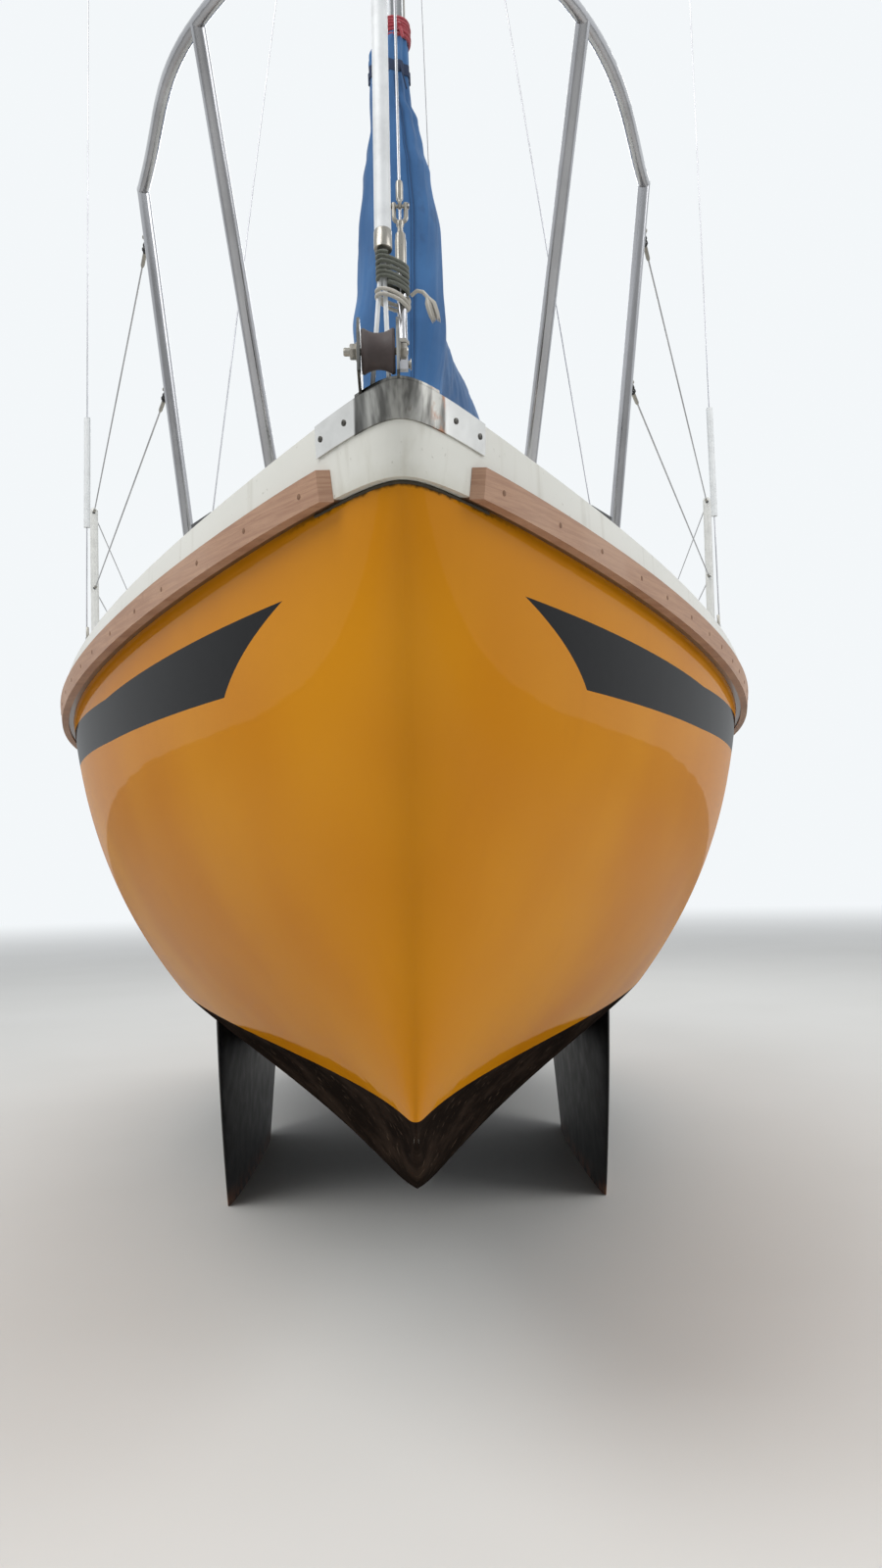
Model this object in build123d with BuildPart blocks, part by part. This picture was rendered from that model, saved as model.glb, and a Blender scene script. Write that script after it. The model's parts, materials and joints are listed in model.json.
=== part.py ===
from build123d import *
import math
import os

# Cabin sailboat with twin bilge keels. Millimetres, +X to the bow, +Y to port, +Z up.
# The origin is on the floor between the keel soles, under the middle of the boat.

# --- hull lines ---
Z_BOOT = 780.0            # boot top, where the antifouling ends
Z_FORM = 2090.0           # upper end of the hull form, cut away at the sheer
STEM_X = (2940.0, 3150.0, 3272.0, 3397.0)         # stem line from boot top to form top
TRANSOM_X = (-3250.0, -3317.0, -3384.0, -3451.0)  # raked transom
FRAMES = (
    # along, along_low, y_boot, y_low, y_high, y_form, y_bilge, z_bilge, z_keel, join
    (0.00, 0.000, 0, 0, 0, 0, 0, 780, 780, 0.30),
    (0.00, 0.035, 50, 211, 171, 101, 30, 624, 602, 0.30),
    (0.09, 0.130, -36, 649, 626, 224, 100, 418, 344, 0.30),
    (0.29, 0.320, 740, 1357, 1497, 1641, 250, 267, 162, 0.30),
    (0.54, 0.550, 1509, 1585, 1518, 1754, 418, 289, 175, 0.30),
    (0.80, 0.800, 1159, 1183, 1034, 1059, 576, 492, 387, 0.20),
    (1.00, 1.000, 680, 774, 809, 851, 722, 772, 734, 0.05),
)
SHEER = (3400.0, 1957.0, -270.0, 1755.0, 1816.0)   # x nose, z nose, x low, z low, z stern
RAIL = (3400.0, 2047.0, -105.0, 1797.0, 1862.0)    # the same for the toe rail's top
X_STERN = -3400.0
HULL_WALL = 28.0
HULL_EDGE_DROP = 12.0     # upper edge of the hull below the sheer, inside the flange
DECK_LEDGE = 70.0         # width of the deck's underside that stays solid along the hull
FLANGE_OUT = 15.0         # deck flange outside the hull
FLANGE_DROP = 50.0        # flange bottom below the sheer
STRAKE_HIGH, STRAKE_THICK = 55.0, 20.0
STRAKE_FRONT_X = 3262.0
DECK_DROP = 42.0          # deck below the toe rail's top
DECK_THICK = 22.0
RAIL_WIDE = 45.0
GAP = 0.3                 # between pieces that touch


def form_points(out, side):
    net = []
    for i, row in enumerate(FRAMES):
        points = []
        for j in range(4):
            x0 = STEM_X[j] + out
            x6 = TRANSOM_X[j] - out
            y = row[2 + j] + (out if i else 0)
            z = Z_BOOT + (Z_FORM - Z_BOOT) * j / 3
            points.append(Vector(x0 + (x6 - x0) * row[0], side * y, z))
        net.append(points)
    return net


def bottom_points(out, side):
    upper = form_points(out, side)
    apex = upper[0][0]
    rake = (TRANSOM_X[0] - TRANSOM_X[3]) / (Z_FORM - Z_BOOT)
    net = []
    for i, row in enumerate(FRAMES):
        if i == 0:
            net.append([apex] * 4)
            continue
        along, y_bilge, z_bilge, z_keel, join = row[1], row[6], row[7] - out, row[8] - out, row[9]

        def station(z):
            return apex.X + (TRANSOM_X[0] - out - (z - Z_BOOT) * rake - apex.X) * along

        net.append([
            Vector(station(z_keel), 0, z_keel),
            Vector(station(z_bilge), side * (y_bilge + 0.3 * out), z_bilge),
            upper[i][0] - (upper[i][1] - upper[i][0]) * join,
            upper[i][0],
        ])
    return net


def hull_form(out, with_bottom=True):
    up = {s: form_points(out, s) for s in (1, -1)}
    low = {s: bottom_points(out, s) for s in (1, -1)}
    faces = [Face.make_bezier_surface(up[s]) for s in (1, -1)]
    head = Line(up[1][6][3], up[-1][6][3])
    faces.append(Face(Wire([Edge.make_bezier(*[r[3] for r in up[s]]) for s in (1, -1)] + [head])))
    stern = [Edge.make_bezier(*up[s][6]) for s in (1, -1)] + [head]
    if with_bottom:
        faces += [Face.make_bezier_surface(low[s]) for s in (1, -1)]
        stern += [Edge.make_bezier(*low[s][6]) for s in (1, -1)]
    else:
        foot = Line(up[1][6][0], up[-1][6][0])
        faces.append(Face(Wire([Edge.make_bezier(*[r[0] for r in up[s]]) for s in (1, -1)] + [foot])))
        stern.append(foot)
    faces.append(Face(Wire(stern)))
    return Solid(Shell(faces))


def line_z(line, x):
    x0, z0, x_low, z_low, z_stern = line
    if x > x_low:
        return z_low + (z0 - z_low) * ((x - x_low) / (x0 - x_low)) ** 2
    return z_low + (z_stern - z_low) * ((x - x_low) / (X_STERN - x_low)) ** 2


def side_band(line_a, drop_a, line_b, drop_b, half=1500.0, x_front=4000.0, x_back=-4000.0):
    """Everything between two sheer lines, or above one of them where line_b is None."""
    with BuildPart() as band:
        with BuildSketch(Plane.XZ.offset(-half)):
            with BuildLine():
                a = []
                for x1, x2 in ((x_front, line_a[2]), (line_a[2], x_back)):
                    xm = (x1 + x2) / 2
                    pts = [(x, line_z(line_a, x) - drop_a) for x in (x1, xm, x2)]
                    ThreePointArc(*pts)
                    a += pts
                b = [(x_front, 2700.0), (x_back, 2700.0)]
                if line_b is not None:
                    b = []
                    for x1, x2 in ((x_front, line_b[2]), (line_b[2], x_back)):
                        xm = (x1 + x2) / 2
                        pts = [(x, line_z(line_b, x) - drop_b) for x in (x1, xm, x2)]
                        ThreePointArc(*pts)
                        b += pts
                else:
                    Line(b[0], b[-1])
                Line(a[0], b[0])
                Line(a[-1], b[-1])
            make_face()
        extrude(amount=2 * half)
    return band.part


FOOT = (Align.CENTER, Align.CENTER, Align.MIN)     # a round piece that starts at its lower end


def block(x1, x2, y1, y2, z1, z2, mode=Mode.ADD):
    """A box between two corners, in the part that is being built."""
    with Locations(((x1 + x2) / 2, (y1 + y2) / 2, (z1 + z2) / 2)):
        Box(abs(x2 - x1), abs(y2 - y1), abs(z2 - z1), mode=mode)


def rod(p1, p2, radius, mode=Mode.ADD):
    """A round bar between two points, in the part that is being built."""
    a, b = Vector(*p1), Vector(*p2)
    with Locations(Plane(origin=a, z_dir=b - a)):
        Cylinder(radius, (b - a).length, align=FOOT, mode=mode)


def disc(x, y, z, radius, height, turn=(0, 0, 0), mode=Mode.ADD):
    """A round plate about a centre, in the part that is being built."""
    with Locations(Location((x, y, z), turn)):
        Cylinder(radius, height, mode=mode)


def save(piece, label):
    piece.part.label = label
    export_step(piece.part, "parts/" + label + ".step")


os.makedirs("parts", exist_ok=True)

FORM = hull_form(0.0)
FORM_IN = hull_form(-HULL_WALL)
ABOVE_SHEER = side_band(SHEER, HULL_EDGE_DROP, None, 0.0)


def half_breadth(x, z, out=0.0):
    """Half the width of the form, grown by `out`, at one station and height."""
    v = (z - Z_BOOT) / (Z_FORM - Z_BOOT)
    net = [[p.X for p in row] + [p.Y for p in row] for row in form_points(out, 1)]
    column = []
    for row in net:
        weights = [math.comb(3, j) * v ** j * (1 - v) ** (3 - j) for j in range(4)]
        column.append([sum(w * c for w, c in zip(weights, half)) for half in (row[:4], row[4:])])

    def at(u):
        weights = [math.comb(6, i) * u ** i * (1 - u) ** (6 - i) for i in range(7)]
        return [sum(w * c[k] for w, c in zip(weights, column)) for k in (0, 1)]

    low, high = 0.0, 1.0
    for _ in range(40):
        middle = (low + high) / 2
        if at(middle)[0] > x:
            low = middle
        else:
            high = middle
    return at(low)[1]


def rail_inside(x):
    """Half the clear width between the toe rails at deck height."""
    return half_breadth(x, line_z(RAIL, x) - DECK_DROP, FLANGE_OUT - RAIL_WIDE)


with BuildPart() as hull:
    add(FORM)
    add(FORM_IN, mode=Mode.SUBTRACT)
    add(ABOVE_SHEER, mode=Mode.SUBTRACT)
save(hull, "hull")

# --- deck moulding: flange, toe rail, decks, coachroof and cockpit ---
ROOF_Z = 2260.0
ROOF_RADIUS = 4000.0
ROOF_WALL = 28.0
ROOF_BASE = (1750.0, 430.0, -1300.0, 800.0)       # x front, half wide, x aft, half wide
ROOF_TOP = (1180.0, 385.0, -1300.0, 690.0)
COCKPIT_X1, COCKPIT_X2 = -1300.0, -3080.0
SEAT_Z, SOLE_Z = 1500.0, 1180.0
COAMING_Z = 1890.0
COAMING_IN, COAMING_OUT = 650.0, 715.0
WELL_X2, WELL_Y = -2950.0, 330.0
TUB = 20.0


def roof_form(inset, z_bottom=1650.0):
    with BuildPart() as trunk:
        for z, shape in ((1700.0, ROOF_BASE), (2300.0, ROOF_TOP)):
            xf, yf, xa, ya = shape
            xf, yf, xa, ya = xf - inset * 1.4, yf - inset, xa + inset, ya - inset
            with BuildSketch(Plane.XY.offset(z)):
                with BuildLine():
                    Polyline((xa, ya), (xf - 110, yf), (xf, yf - 110), (xf, 110 - yf), (xf - 110, -yf),
                             (xa, -ya), close=True)
                make_face()
        loft(ruled=True)
        with BuildSketch(Plane.YZ.offset(-2500)):
            with BuildLine():
                r = ROOF_RADIUS - inset
                top = ROOF_Z - inset
                side = top - (r - math.sqrt(r * r - 1000.0 ** 2))
                ThreePointArc((-1000, side), (0, top), (1000, side))
                Polyline((1000, side), (1000, z_bottom), (-1000, z_bottom), (-1000, side))
            make_face()
        extrude(amount=5000, mode=Mode.INTERSECT)
    return trunk.part


def window_prism(grow=0.0):
    with BuildPart() as prism:
        with BuildSketch(Plane.XZ.offset(-1200)):
            with Locations((WINDOW_X, WINDOW_Z)):
                RectangleRounded(WINDOW_LONG + 2 * grow, WINDOW_HIGH + 2 * grow, 80)
        extrude(amount=2400)
    return prism.part


WINDOW_X, WINDOW_LONG, WINDOW_HIGH, WINDOW_Z = -60.0, 1900.0, 200.0, 2010.0
HATCH_OPEN = (-1301.0, -660.0, 300.0)
FORE_HATCH = (1960.0, 2360.0, 200.0, 1930.0)      # x aft, x front, half wide, rim height
HATCH_RIM = 35.0
LOCKER = (-2750.0, -1850.0, 350.0, 630.0)         # x aft, x front, y inner, y outer
LOCKER_LEDGE = 30.0
ROOF = roof_form(0.0)
ROOF_INSIDE = roof_form(ROOF_WALL, 1500.0)

# spaces of the moulding: over the deck, where the hull's edge stands, and under the deck
with BuildPart() as over_deck:
    add(hull_form(FLANGE_OUT - RAIL_WIDE, False))
    add(side_band(RAIL, DECK_DROP, None, 0.0), mode=Mode.INTERSECT)
with BuildPart() as hull_edge:
    add(hull_form(GAP, False))
    add(side_band(SHEER, HULL_EDGE_DROP - GAP, None, 0.0), mode=Mode.SUBTRACT)
with BuildPart() as under_deck:
    add(hull_form(-DECK_LEDGE, False))
    add(side_band(RAIL, DECK_DROP + DECK_THICK, None, 0.0), mode=Mode.SUBTRACT)

with BuildPart() as deck:
    add(hull_form(FLANGE_OUT, False))
    add(side_band(SHEER, FLANGE_DROP, RAIL, 0.0), mode=Mode.INTERSECT)
    add(over_deck.part, mode=Mode.SUBTRACT)
    add(hull_edge.part, mode=Mode.SUBTRACT)
    add(under_deck.part, mode=Mode.SUBTRACT)
    add(ROOF)
    block(COCKPIT_X1, COCKPIT_X2 - TUB, -COAMING_OUT, COAMING_OUT, SEAT_Z - TUB, COAMING_Z)
    block(COCKPIT_X1 + 10, WELL_X2 - TUB, -WELL_Y - TUB, WELL_Y + TUB, SOLE_Z - TUB, SEAT_Z)
    x1, x2, y, z = FORE_HATCH
    block(x1 - HATCH_RIM, x2 + HATCH_RIM, -y - HATCH_RIM, y + HATCH_RIM, 1830, z)
    # spaces
    add(ROOF_INSIDE, mode=Mode.SUBTRACT)
    block(-1325, COCKPIT_X2, -COAMING_IN, COAMING_IN, SEAT_Z, 2400, mode=Mode.SUBTRACT)
    block(-1330, WELL_X2, -WELL_Y, WELL_Y, SOLE_Z, SEAT_Z + 1, mode=Mode.SUBTRACT)
    block(HATCH_OPEN[0] - 40, HATCH_OPEN[1], -HATCH_OPEN[2], HATCH_OPEN[2], 1560, 2400, mode=Mode.SUBTRACT)
    block(x1, x2, -y, y, 1700, 2400, mode=Mode.SUBTRACT)
    add(window_prism(), mode=Mode.SUBTRACT)
    for s in (1, -1):
        x1, x2, y1, y2 = LOCKER
        block(x1 + LOCKER_LEDGE, x2 - LOCKER_LEDGE, s * (y1 + LOCKER_LEDGE), s * (y2 - LOCKER_LEDGE),
              SEAT_Z - 50, SEAT_Z + 5, mode=Mode.SUBTRACT)
    # coaming falls towards the stern
    with BuildSketch(Plane.XZ.offset(-1200)):
        with BuildLine():
            Polyline((-1700, COAMING_Z + 1), (-3400, COAMING_Z + 1), (-3400, COAMING_Z - 60),
                     (-2900, COAMING_Z - 60), close=True)
        make_face()
    extrude(amount=2400, mode=Mode.SUBTRACT)
    # hatch runners
    for s in (1, -1):
        block(-1290, 30, s * 322, s * 345, 2230, 2284)
save(deck, "deck_moulding")

# what deck gear is cut back to, a gap above the deck and off the toe rail
with BuildPart() as clear_of_deck:
    add(hull_form(FLANGE_OUT, False))
    add(side_band(RAIL, DECK_DROP - GAP, None, 0.0), mode=Mode.SUBTRACT)
with BuildPart() as clear_of_rail:
    add(hull_form(FLANGE_OUT + GAP, False))
    add(side_band(RAIL, -GAP, None, 0.0), mode=Mode.SUBTRACT)
    add(hull_form(FLANGE_OUT - RAIL_WIDE - GAP, False), mode=Mode.SUBTRACT)


def seat():
    """Cut the current part back to the deck and the toe rail."""
    add(clear_of_deck.part, mode=Mode.SUBTRACT)
    add(clear_of_rail.part, mode=Mode.SUBTRACT)


# --- rubbing strakes, bow band and bow fitting ---
BAND_HIGH, BAND_THICK, BAND_BACK_X = 56.0, 4.0, 3238.0

STRAKE_FORM = hull_form(FLANGE_OUT + STRAKE_THICK, False)
FLANGE_FORM = hull_form(FLANGE_OUT + GAP, False)
for side, name in ((1, "port"), (-1, "starboard")):
    with BuildPart() as strake:
        add(STRAKE_FORM)
        add(side_band(SHEER, STRAKE_HIGH, SHEER, 0.0, x_front=STRAKE_FRONT_X), mode=Mode.INTERSECT)
        add(FLANGE_FORM, mode=Mode.SUBTRACT)
        block(-4000, 4000, 0, -side * 2000, 0, 3000, mode=Mode.SUBTRACT)
        block(-4000, -3380, -2000, 2000, 0, 3000, mode=Mode.SUBTRACT)
    save(strake, "strake_" + name)

BAND_FORM = hull_form(FLANGE_OUT + GAP + BAND_THICK, False)
with BuildPart() as bow_band:
    add(BAND_FORM)
    add(side_band(RAIL, BAND_HIGH, RAIL, 0.0), mode=Mode.INTERSECT)
    add(FLANGE_FORM, mode=Mode.SUBTRACT)
    block(-4000, BAND_BACK_X, -2000, 2000, 0, 3000, mode=Mode.SUBTRACT)
save(bow_band, "bow_band")

ROLLER_X, ROLLER_Y, ROLLER_Z = 3400.0, -32.0, 2093.5
ROLLER_R, ROLLER_LONG, CHEEK = 36.0, 50.0, 5.0
CHEEK_FROM_ROLLER = ROLLER_LONG / 2 + 4
CHEEK_FACE = ROLLER_Y + CHEEK_FROM_ROLLER + CHEEK          # port side of the port cheek
NOSE_TOP = RAIL[1]
PLATE_GAP = 0.5           # between the nose and the plate on it

with BuildPart() as uprights:
    for y in (ROLLER_Y - CHEEK_FROM_ROLLER - CHEEK, ROLLER_Y + CHEEK_FROM_ROLLER):
        with BuildSketch(Plane.XZ.offset(-y)):
            with BuildLine():
                Polyline((3235, NOSE_TOP - 50), (3275, NOSE_TOP + 52), (3368, NOSE_TOP + 100),
                         (3408, NOSE_TOP + 100), (3434, NOSE_TOP + 66), (3434, NOSE_TOP - 4),
                         (3396, NOSE_TOP - 50), close=True)
            make_face()
        extrude(amount=-CHEEK)
    add(side_band(RAIL, -PLATE_GAP, None, 0.0), mode=Mode.INTERSECT)

with BuildPart() as bow_fitting:
    # plate on the nose, with the outline of the band
    block(3130, 3470, -74, 66, 1900, 2200)
    add(BAND_FORM, mode=Mode.INTERSECT)
    add(side_band(RAIL, -PLATE_GAP, RAIL, -PLATE_GAP - BAND_THICK), mode=Mode.INTERSECT)
    add(uprights.part)
    rod((ROLLER_X, ROLLER_Y - 46, ROLLER_Z), (ROLLER_X, ROLLER_Y + 46, ROLLER_Z), 6.0)
save(bow_fitting, "bow_fitting")

with BuildPart() as bow_roller:
    with BuildSketch(Plane.XY.offset(ROLLER_Z)):
        with BuildLine():
            half = ROLLER_LONG / 2
            row = ((6.4, -half), (ROLLER_R, -half), (ROLLER_R, 9 - half), (24, -6), (24, 6),
                   (ROLLER_R, half - 9), (ROLLER_R, half), (6.4, half))
            Polyline(*[(ROLLER_X + r, ROLLER_Y + y) for r, y in row], close=True)
        make_face()
    revolve(axis=Axis((ROLLER_X, ROLLER_Y, ROLLER_Z), (0, 1, 0)))
save(bow_roller, "bow_roller")

# --- keels and rudder ---
KEELS = (
    # z, x lead, x trail, y, half thick
    (0.0, 430.0, -800.0, 700.0, 26.0),
    (330.0, 590.0, -960.0, 695.0, 34.0),
    (790.0, 793.0, -1163.0, 679.0, 43.0),
)


def foil(x_lead, x_trail, half, nose=0.30):
    """Outline of a fin section: rounded lead, widest at nose, fine trail."""
    chord = x_lead - x_trail
    xm = x_lead - nose * chord
    with BuildSketch() as section:
        with BuildLine():
            Spline((x_trail, -3), (xm, -half), (x_lead, 0), (xm, half), (x_trail, 3))
            Line((x_trail, 3), (x_trail, -3))
        make_face()
    return section.sketch


with BuildPart() as keel_port:
    for z, x1, x2, y, half in KEELS:
        with BuildSketch(Plane(origin=(0, y, z), x_dir=(1, 0, 0), z_dir=(0, 0, 1))):
            add(foil(x1, x2, half))
    loft()
    add(hull_form(GAP), mode=Mode.SUBTRACT)
save(keel_port, "keel_port")
with BuildPart() as keel_starboard:
    add(mirror(keel_port.part, about=Plane.XZ))
save(keel_starboard, "keel_starboard")

RUDDER_RAKE = math.degrees(math.atan(75.0 / 490.0))
RAKE_SIN, RAKE_COS = math.sin(math.radians(RUDDER_RAKE)), math.cos(math.radians(RUDDER_RAKE))
RUDDER_AXIS = Plane(origin=(-3330.0, 0, 900.0), x_dir=(RAKE_COS, 0, RAKE_SIN),
                    z_dir=(-RAKE_SIN, 0, RAKE_COS))
GUDGEON_Z = (-40.0, 640.0)          # along the rudder axis
RUDDER_BLADE = ((-18, 970), (-18, -175), (8, -400), (0, -700), (-40, -755), (-330, -735), (-372, -700),
                (-400, -350), (-330, 200), (-235, 700), (-215, 970))
RUDDER_HALF = 19.0

with BuildPart() as rudder:
    with BuildSketch(Plane(origin=RUDDER_AXIS.origin, x_dir=RUDDER_AXIS.x_dir, z_dir=(0, -1, 0))):
        with BuildLine():
            Polyline(*RUDDER_BLADE, close=True)
        make_face()
    extrude(amount=RUDDER_HALF, both=True)
    fillet(rudder.edges().filter_by(Axis.Y, 1e-3), radius=6)
    for z in GUDGEON_Z:
        # room for the gudgeon, then the pin and its straps
        with Locations(RUDDER_AXIS * Pos(-20, 0, z)):
            Box(70, 60, 60, mode=Mode.SUBTRACT)
        with Locations(RUDDER_AXIS * Pos(0, 0, z)):
            Cylinder(6.0, 90)
        with Locations(RUDDER_AXIS * Pos(-60, 0, z + 36), RUDDER_AXIS * Pos(-60, 0, z - 36)):
            Box(146, 46, 10)
    with Locations(RUDDER_AXIS * Pos(-115, 24, 950), RUDDER_AXIS * Pos(-115, -24, 950)):
        Box(170, 10, 230)

TILLER_PIN = (-95.0, 1028.0)       # on the rudder's own axis plane
ACROSS = (90, 0, 0)
PIN = RUDDER_AXIS.from_local_coords(Vector(TILLER_PIN[0], 0, TILLER_PIN[1]))
with BuildPart() as tiller:
    with BuildSketch(Plane(origin=PIN, x_dir=(0, 1, 0), z_dir=(1, 0, 0.06))):
        RectangleRounded(36, 50, 8)
    with BuildSketch(Plane(origin=PIN + Vector(1150, 0, 70), x_dir=(0, 1, 0), z_dir=(1, 0, 0.06))):
        RectangleRounded(30, 32, 8)
    loft()
    disc(PIN.X - 10, 0, PIN.Z, 24.0, 36, turn=ACROSS)
    disc(*PIN, 5.3, 80, turn=ACROSS, mode=Mode.SUBTRACT)
save(tiller, "tiller")

with BuildPart() as rudder_whole:
    add(rudder.part)
    disc(*PIN, 5.0, 66, turn=ACROSS)
    for s in (1, -1):
        disc(PIN.X, s * 32.0, PIN.Z, 10.0, 6, turn=ACROSS)
save(rudder_whole, "rudder")

for z, name in zip(GUDGEON_Z, ("lower", "upper")):
    with BuildPart() as gudgeon:
        with Locations(RUDDER_AXIS * Pos(28, 0, z)):
            Box(56, 30, 24)
        with Locations(RUDDER_AXIS * Pos(58, 0, z)):
            Box(16, 90, 60)
        with Locations(RUDDER_AXIS * Pos(0, 0, z)):
            Cylinder(15.0, 24)
            Cylinder(6.5, 40, mode=Mode.SUBTRACT)
        add(hull_form(GAP), mode=Mode.SUBTRACT)
    save(gudgeon, "gudgeon_" + name)

# --- spars ---
MAST_X, MAST_FOOT, MAST_HEAD = 1040.0, 2285.0, 10600.0
MAST_LONG, MAST_WIDE = 112.0, 76.0
GOOSE_X, GOOSE_Z = 958.0, 3150.0
BOOM_LONG, BOOM_ANGLE = 2600.0, 12.0
SPREADER_Z, SPREADER_Y = 6800.0, 1015.0
HOUNDS_Z = 10420.0

with BuildPart() as mast:
    with BuildSketch(Plane.XY.offset(MAST_FOOT)):
        with Locations((MAST_X, 0)):
            Ellipse(MAST_LONG / 2, MAST_WIDE / 2)
        with Locations((MAST_X - MAST_LONG / 2, 0)):
            Rectangle(10, 10, mode=Mode.SUBTRACT)
    extrude(amount=MAST_HEAD - MAST_FOOT)
    # masthead crane and gooseneck bracket
    block(MAST_X - 95, MAST_X + 85, -20, 20, MAST_HEAD, MAST_HEAD + 14)
    for dz in (-34.0, 22.0):
        block(GOOSE_X - 14, MAST_X - 40, -14, 14, GOOSE_Z + dz, GOOSE_Z + dz + 12)
    rod((GOOSE_X, 0, GOOSE_Z - 34), (GOOSE_X, 0, GOOSE_Z + 34), 6.0)
save(mast, "mast")

with BuildPart() as mast_step:
    with Locations((MAST_X, 0, 2240)):
        Cylinder(105, MAST_FOOT - 2240 - 14, align=FOOT)
    with BuildSketch(Plane.XY.offset(MAST_FOOT - 14)):
        with Locations((MAST_X, 0)):
            Ellipse(MAST_LONG / 2 + 10, MAST_WIDE / 2 + 10)
    extrude(amount=14 - GAP)
    add(roof_form(-GAP), mode=Mode.SUBTRACT)
save(mast_step, "mast_step")

for side, name in ((1, "port"), (-1, "starboard")):
    with BuildPart() as spreader:
        with BuildSketch(Plane(origin=(MAST_X - 10, side * (MAST_WIDE / 2 - 2), SPREADER_Z),
                               x_dir=(1, 0, 0), z_dir=(0, side, 0))):
            Ellipse(24, 10)
        with BuildSketch(Plane(origin=(MAST_X - 85, side * (SPREADER_Y - 12), SPREADER_Z + 40),
                               x_dir=(1, 0, 0), z_dir=(0, side, 0))):
            Ellipse(15, 7)
        loft()
        add(mast.part, mode=Mode.SUBTRACT)
    save(spreader, "spreader_" + name)

BOOM_PLANE = Plane(origin=(GOOSE_X, 0, GOOSE_Z), x_dir=(-math.cos(math.radians(BOOM_ANGLE)),
                   math.sin(math.radians(BOOM_ANGLE)), 0), z_dir=(0, 0, 1))
with BuildPart() as boom:
    with BuildSketch(Plane(origin=BOOM_PLANE.from_local_coords(Vector(40, 0, 0)), x_dir=BOOM_PLANE.y_dir,
                           z_dir=BOOM_PLANE.x_dir)):
        Ellipse(28, 40)
    extrude(amount=BOOM_LONG - 40)
    with Locations(BOOM_PLANE * Pos(20, 0, 0)):
        Box(62, 24, 42)
    with Locations(BOOM_PLANE * Pos(BOOM_LONG - 25, 0, -44)):
        Box(40, 6, 30)
    with Locations(BOOM_PLANE):
        Cylinder(14, 42)
        Cylinder(6.5, 60, mode=Mode.SUBTRACT)
save(boom, "boom")

# --- sail cover ---
COVER = (
    # z, x centre, y centre, half long, half wide
    (2800.0, 985.0, 25.0, 125.0, 125.0),
    (3150.0, 975.0, 30.0, 150.0, 145.0),
    (3460.0, 985.0, 26.0, 135.0, 126.0),
    (3700.0, 1010.0, 12.0, 95.0, 82.0),
    (3990.0, 1035.0, 2.0, 66.0, 48.0),
)
with BuildPart() as sail_cover_mast:
    for z, x, y, a, b in COVER:
        with BuildSketch(Plane.XY.offset(z)):
            with Locations((x, y)):
                Ellipse(a, b)
    loft()
    with BuildSketch(Plane.XY.offset(2700)):
        with Locations((MAST_X, 0)):
            Ellipse(MAST_LONG / 2 + 1, MAST_WIDE / 2 + 1)
    extrude(amount=1500, mode=Mode.SUBTRACT)
    # room for the boom to swing and for the gooseneck
    block(500, GOOSE_X + 24, -500, 500, GOOSE_Z - 50, GOOSE_Z + 50, mode=Mode.SUBTRACT)
    block(GOOSE_X - 20, MAST_X, -22, 22, GOOSE_Z - 45, GOOSE_Z + 45, mode=Mode.SUBTRACT)
save(sail_cover_mast, "sail_cover_mast")

BOOM_COVER = (
    # along, z centre, half wide, half high
    (200.0, 20.0, 105.0, 190.0),
    (900.0, 10.0, 95.0, 165.0),
    (1700.0, 5.0, 78.0, 130.0),
    (2520.0, 0.0, 50.0, 80.0),
)
with BuildPart() as sail_cover_boom:
    for along, z, a, b in BOOM_COVER:
        with BuildSketch(Plane(origin=BOOM_PLANE.from_local_coords(Vector(along, 0, z)),
                               x_dir=BOOM_PLANE.y_dir, z_dir=BOOM_PLANE.x_dir)):
            Ellipse(a, b)
    loft()
    with BuildSketch(Plane(origin=BOOM_PLANE.from_local_coords(Vector(0, 0, 0)), x_dir=BOOM_PLANE.y_dir,
                           z_dir=BOOM_PLANE.x_dir)):
        Ellipse(29, 41)
    extrude(amount=3000, mode=Mode.SUBTRACT)
save(sail_cover_boom, "sail_cover_boom")

# --- standing rigging ---
WIRE_R = 2.5
TOGGLE_IN, TOGGLE_OUT = 5.7, 8.0      # the stay's toggle beside its pin, towards the cheek and away
STAY_FOOT = (3300.0, CHEEK_FACE + GAP + TOGGLE_IN, 2112.0)
STAY_HEAD = (MAST_X + 62.0, 6.0, HOUNDS_Z)
SPAR_FOOT, SPAR_HEAD = (3302.0, -22.0, 2305.0), (MAST_X + 175.0, 0.0, 10180.0)
TAIL_X, TAIL_YS = 3325.0, (-46.0, -16.0)
LEG_IN_SPAR = 0.003       # share of the spar's length that the legs reach into it
SPAR_R = 14.5
SHROUD_X = 890.0
SHROUD_Y = rail_inside(SHROUD_X) - 12.0
LOWER_X, LOWER_Y = 940.0, 735.0
BACKSTAY_X, BACK_Y = -3392.0, 300.0


def along_line(p1, p2, share):
    return tuple(a + (b - a) * share for a, b in zip(p1, p2))


def screw(p1, p2, body=150.0):
    """Add a bottle screw and its fork at the foot of a stay."""
    length = (Vector(*p2) - Vector(*p1)).length
    at = [along_line(p1, p2, d / length) for d in (0, 40, 40 + body, 80 + body)]
    rod(at[0], at[3], 4.0)
    rod(at[1], at[2], 8.0)


with BuildPart() as forestay:
    rod(STAY_FOOT, STAY_HEAD, WIRE_R)
    screw(STAY_FOOT, STAY_HEAD)
    # toggle on the port cheek of the bow fitting
    block(STAY_FOOT[0] - 8, STAY_FOOT[0] + 8, STAY_FOOT[1] - TOGGLE_IN, STAY_FOOT[1] + TOGGLE_OUT,
          STAY_FOOT[2] - 14, STAY_FOOT[2] + 14)
save(forestay, "forestay")

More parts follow.
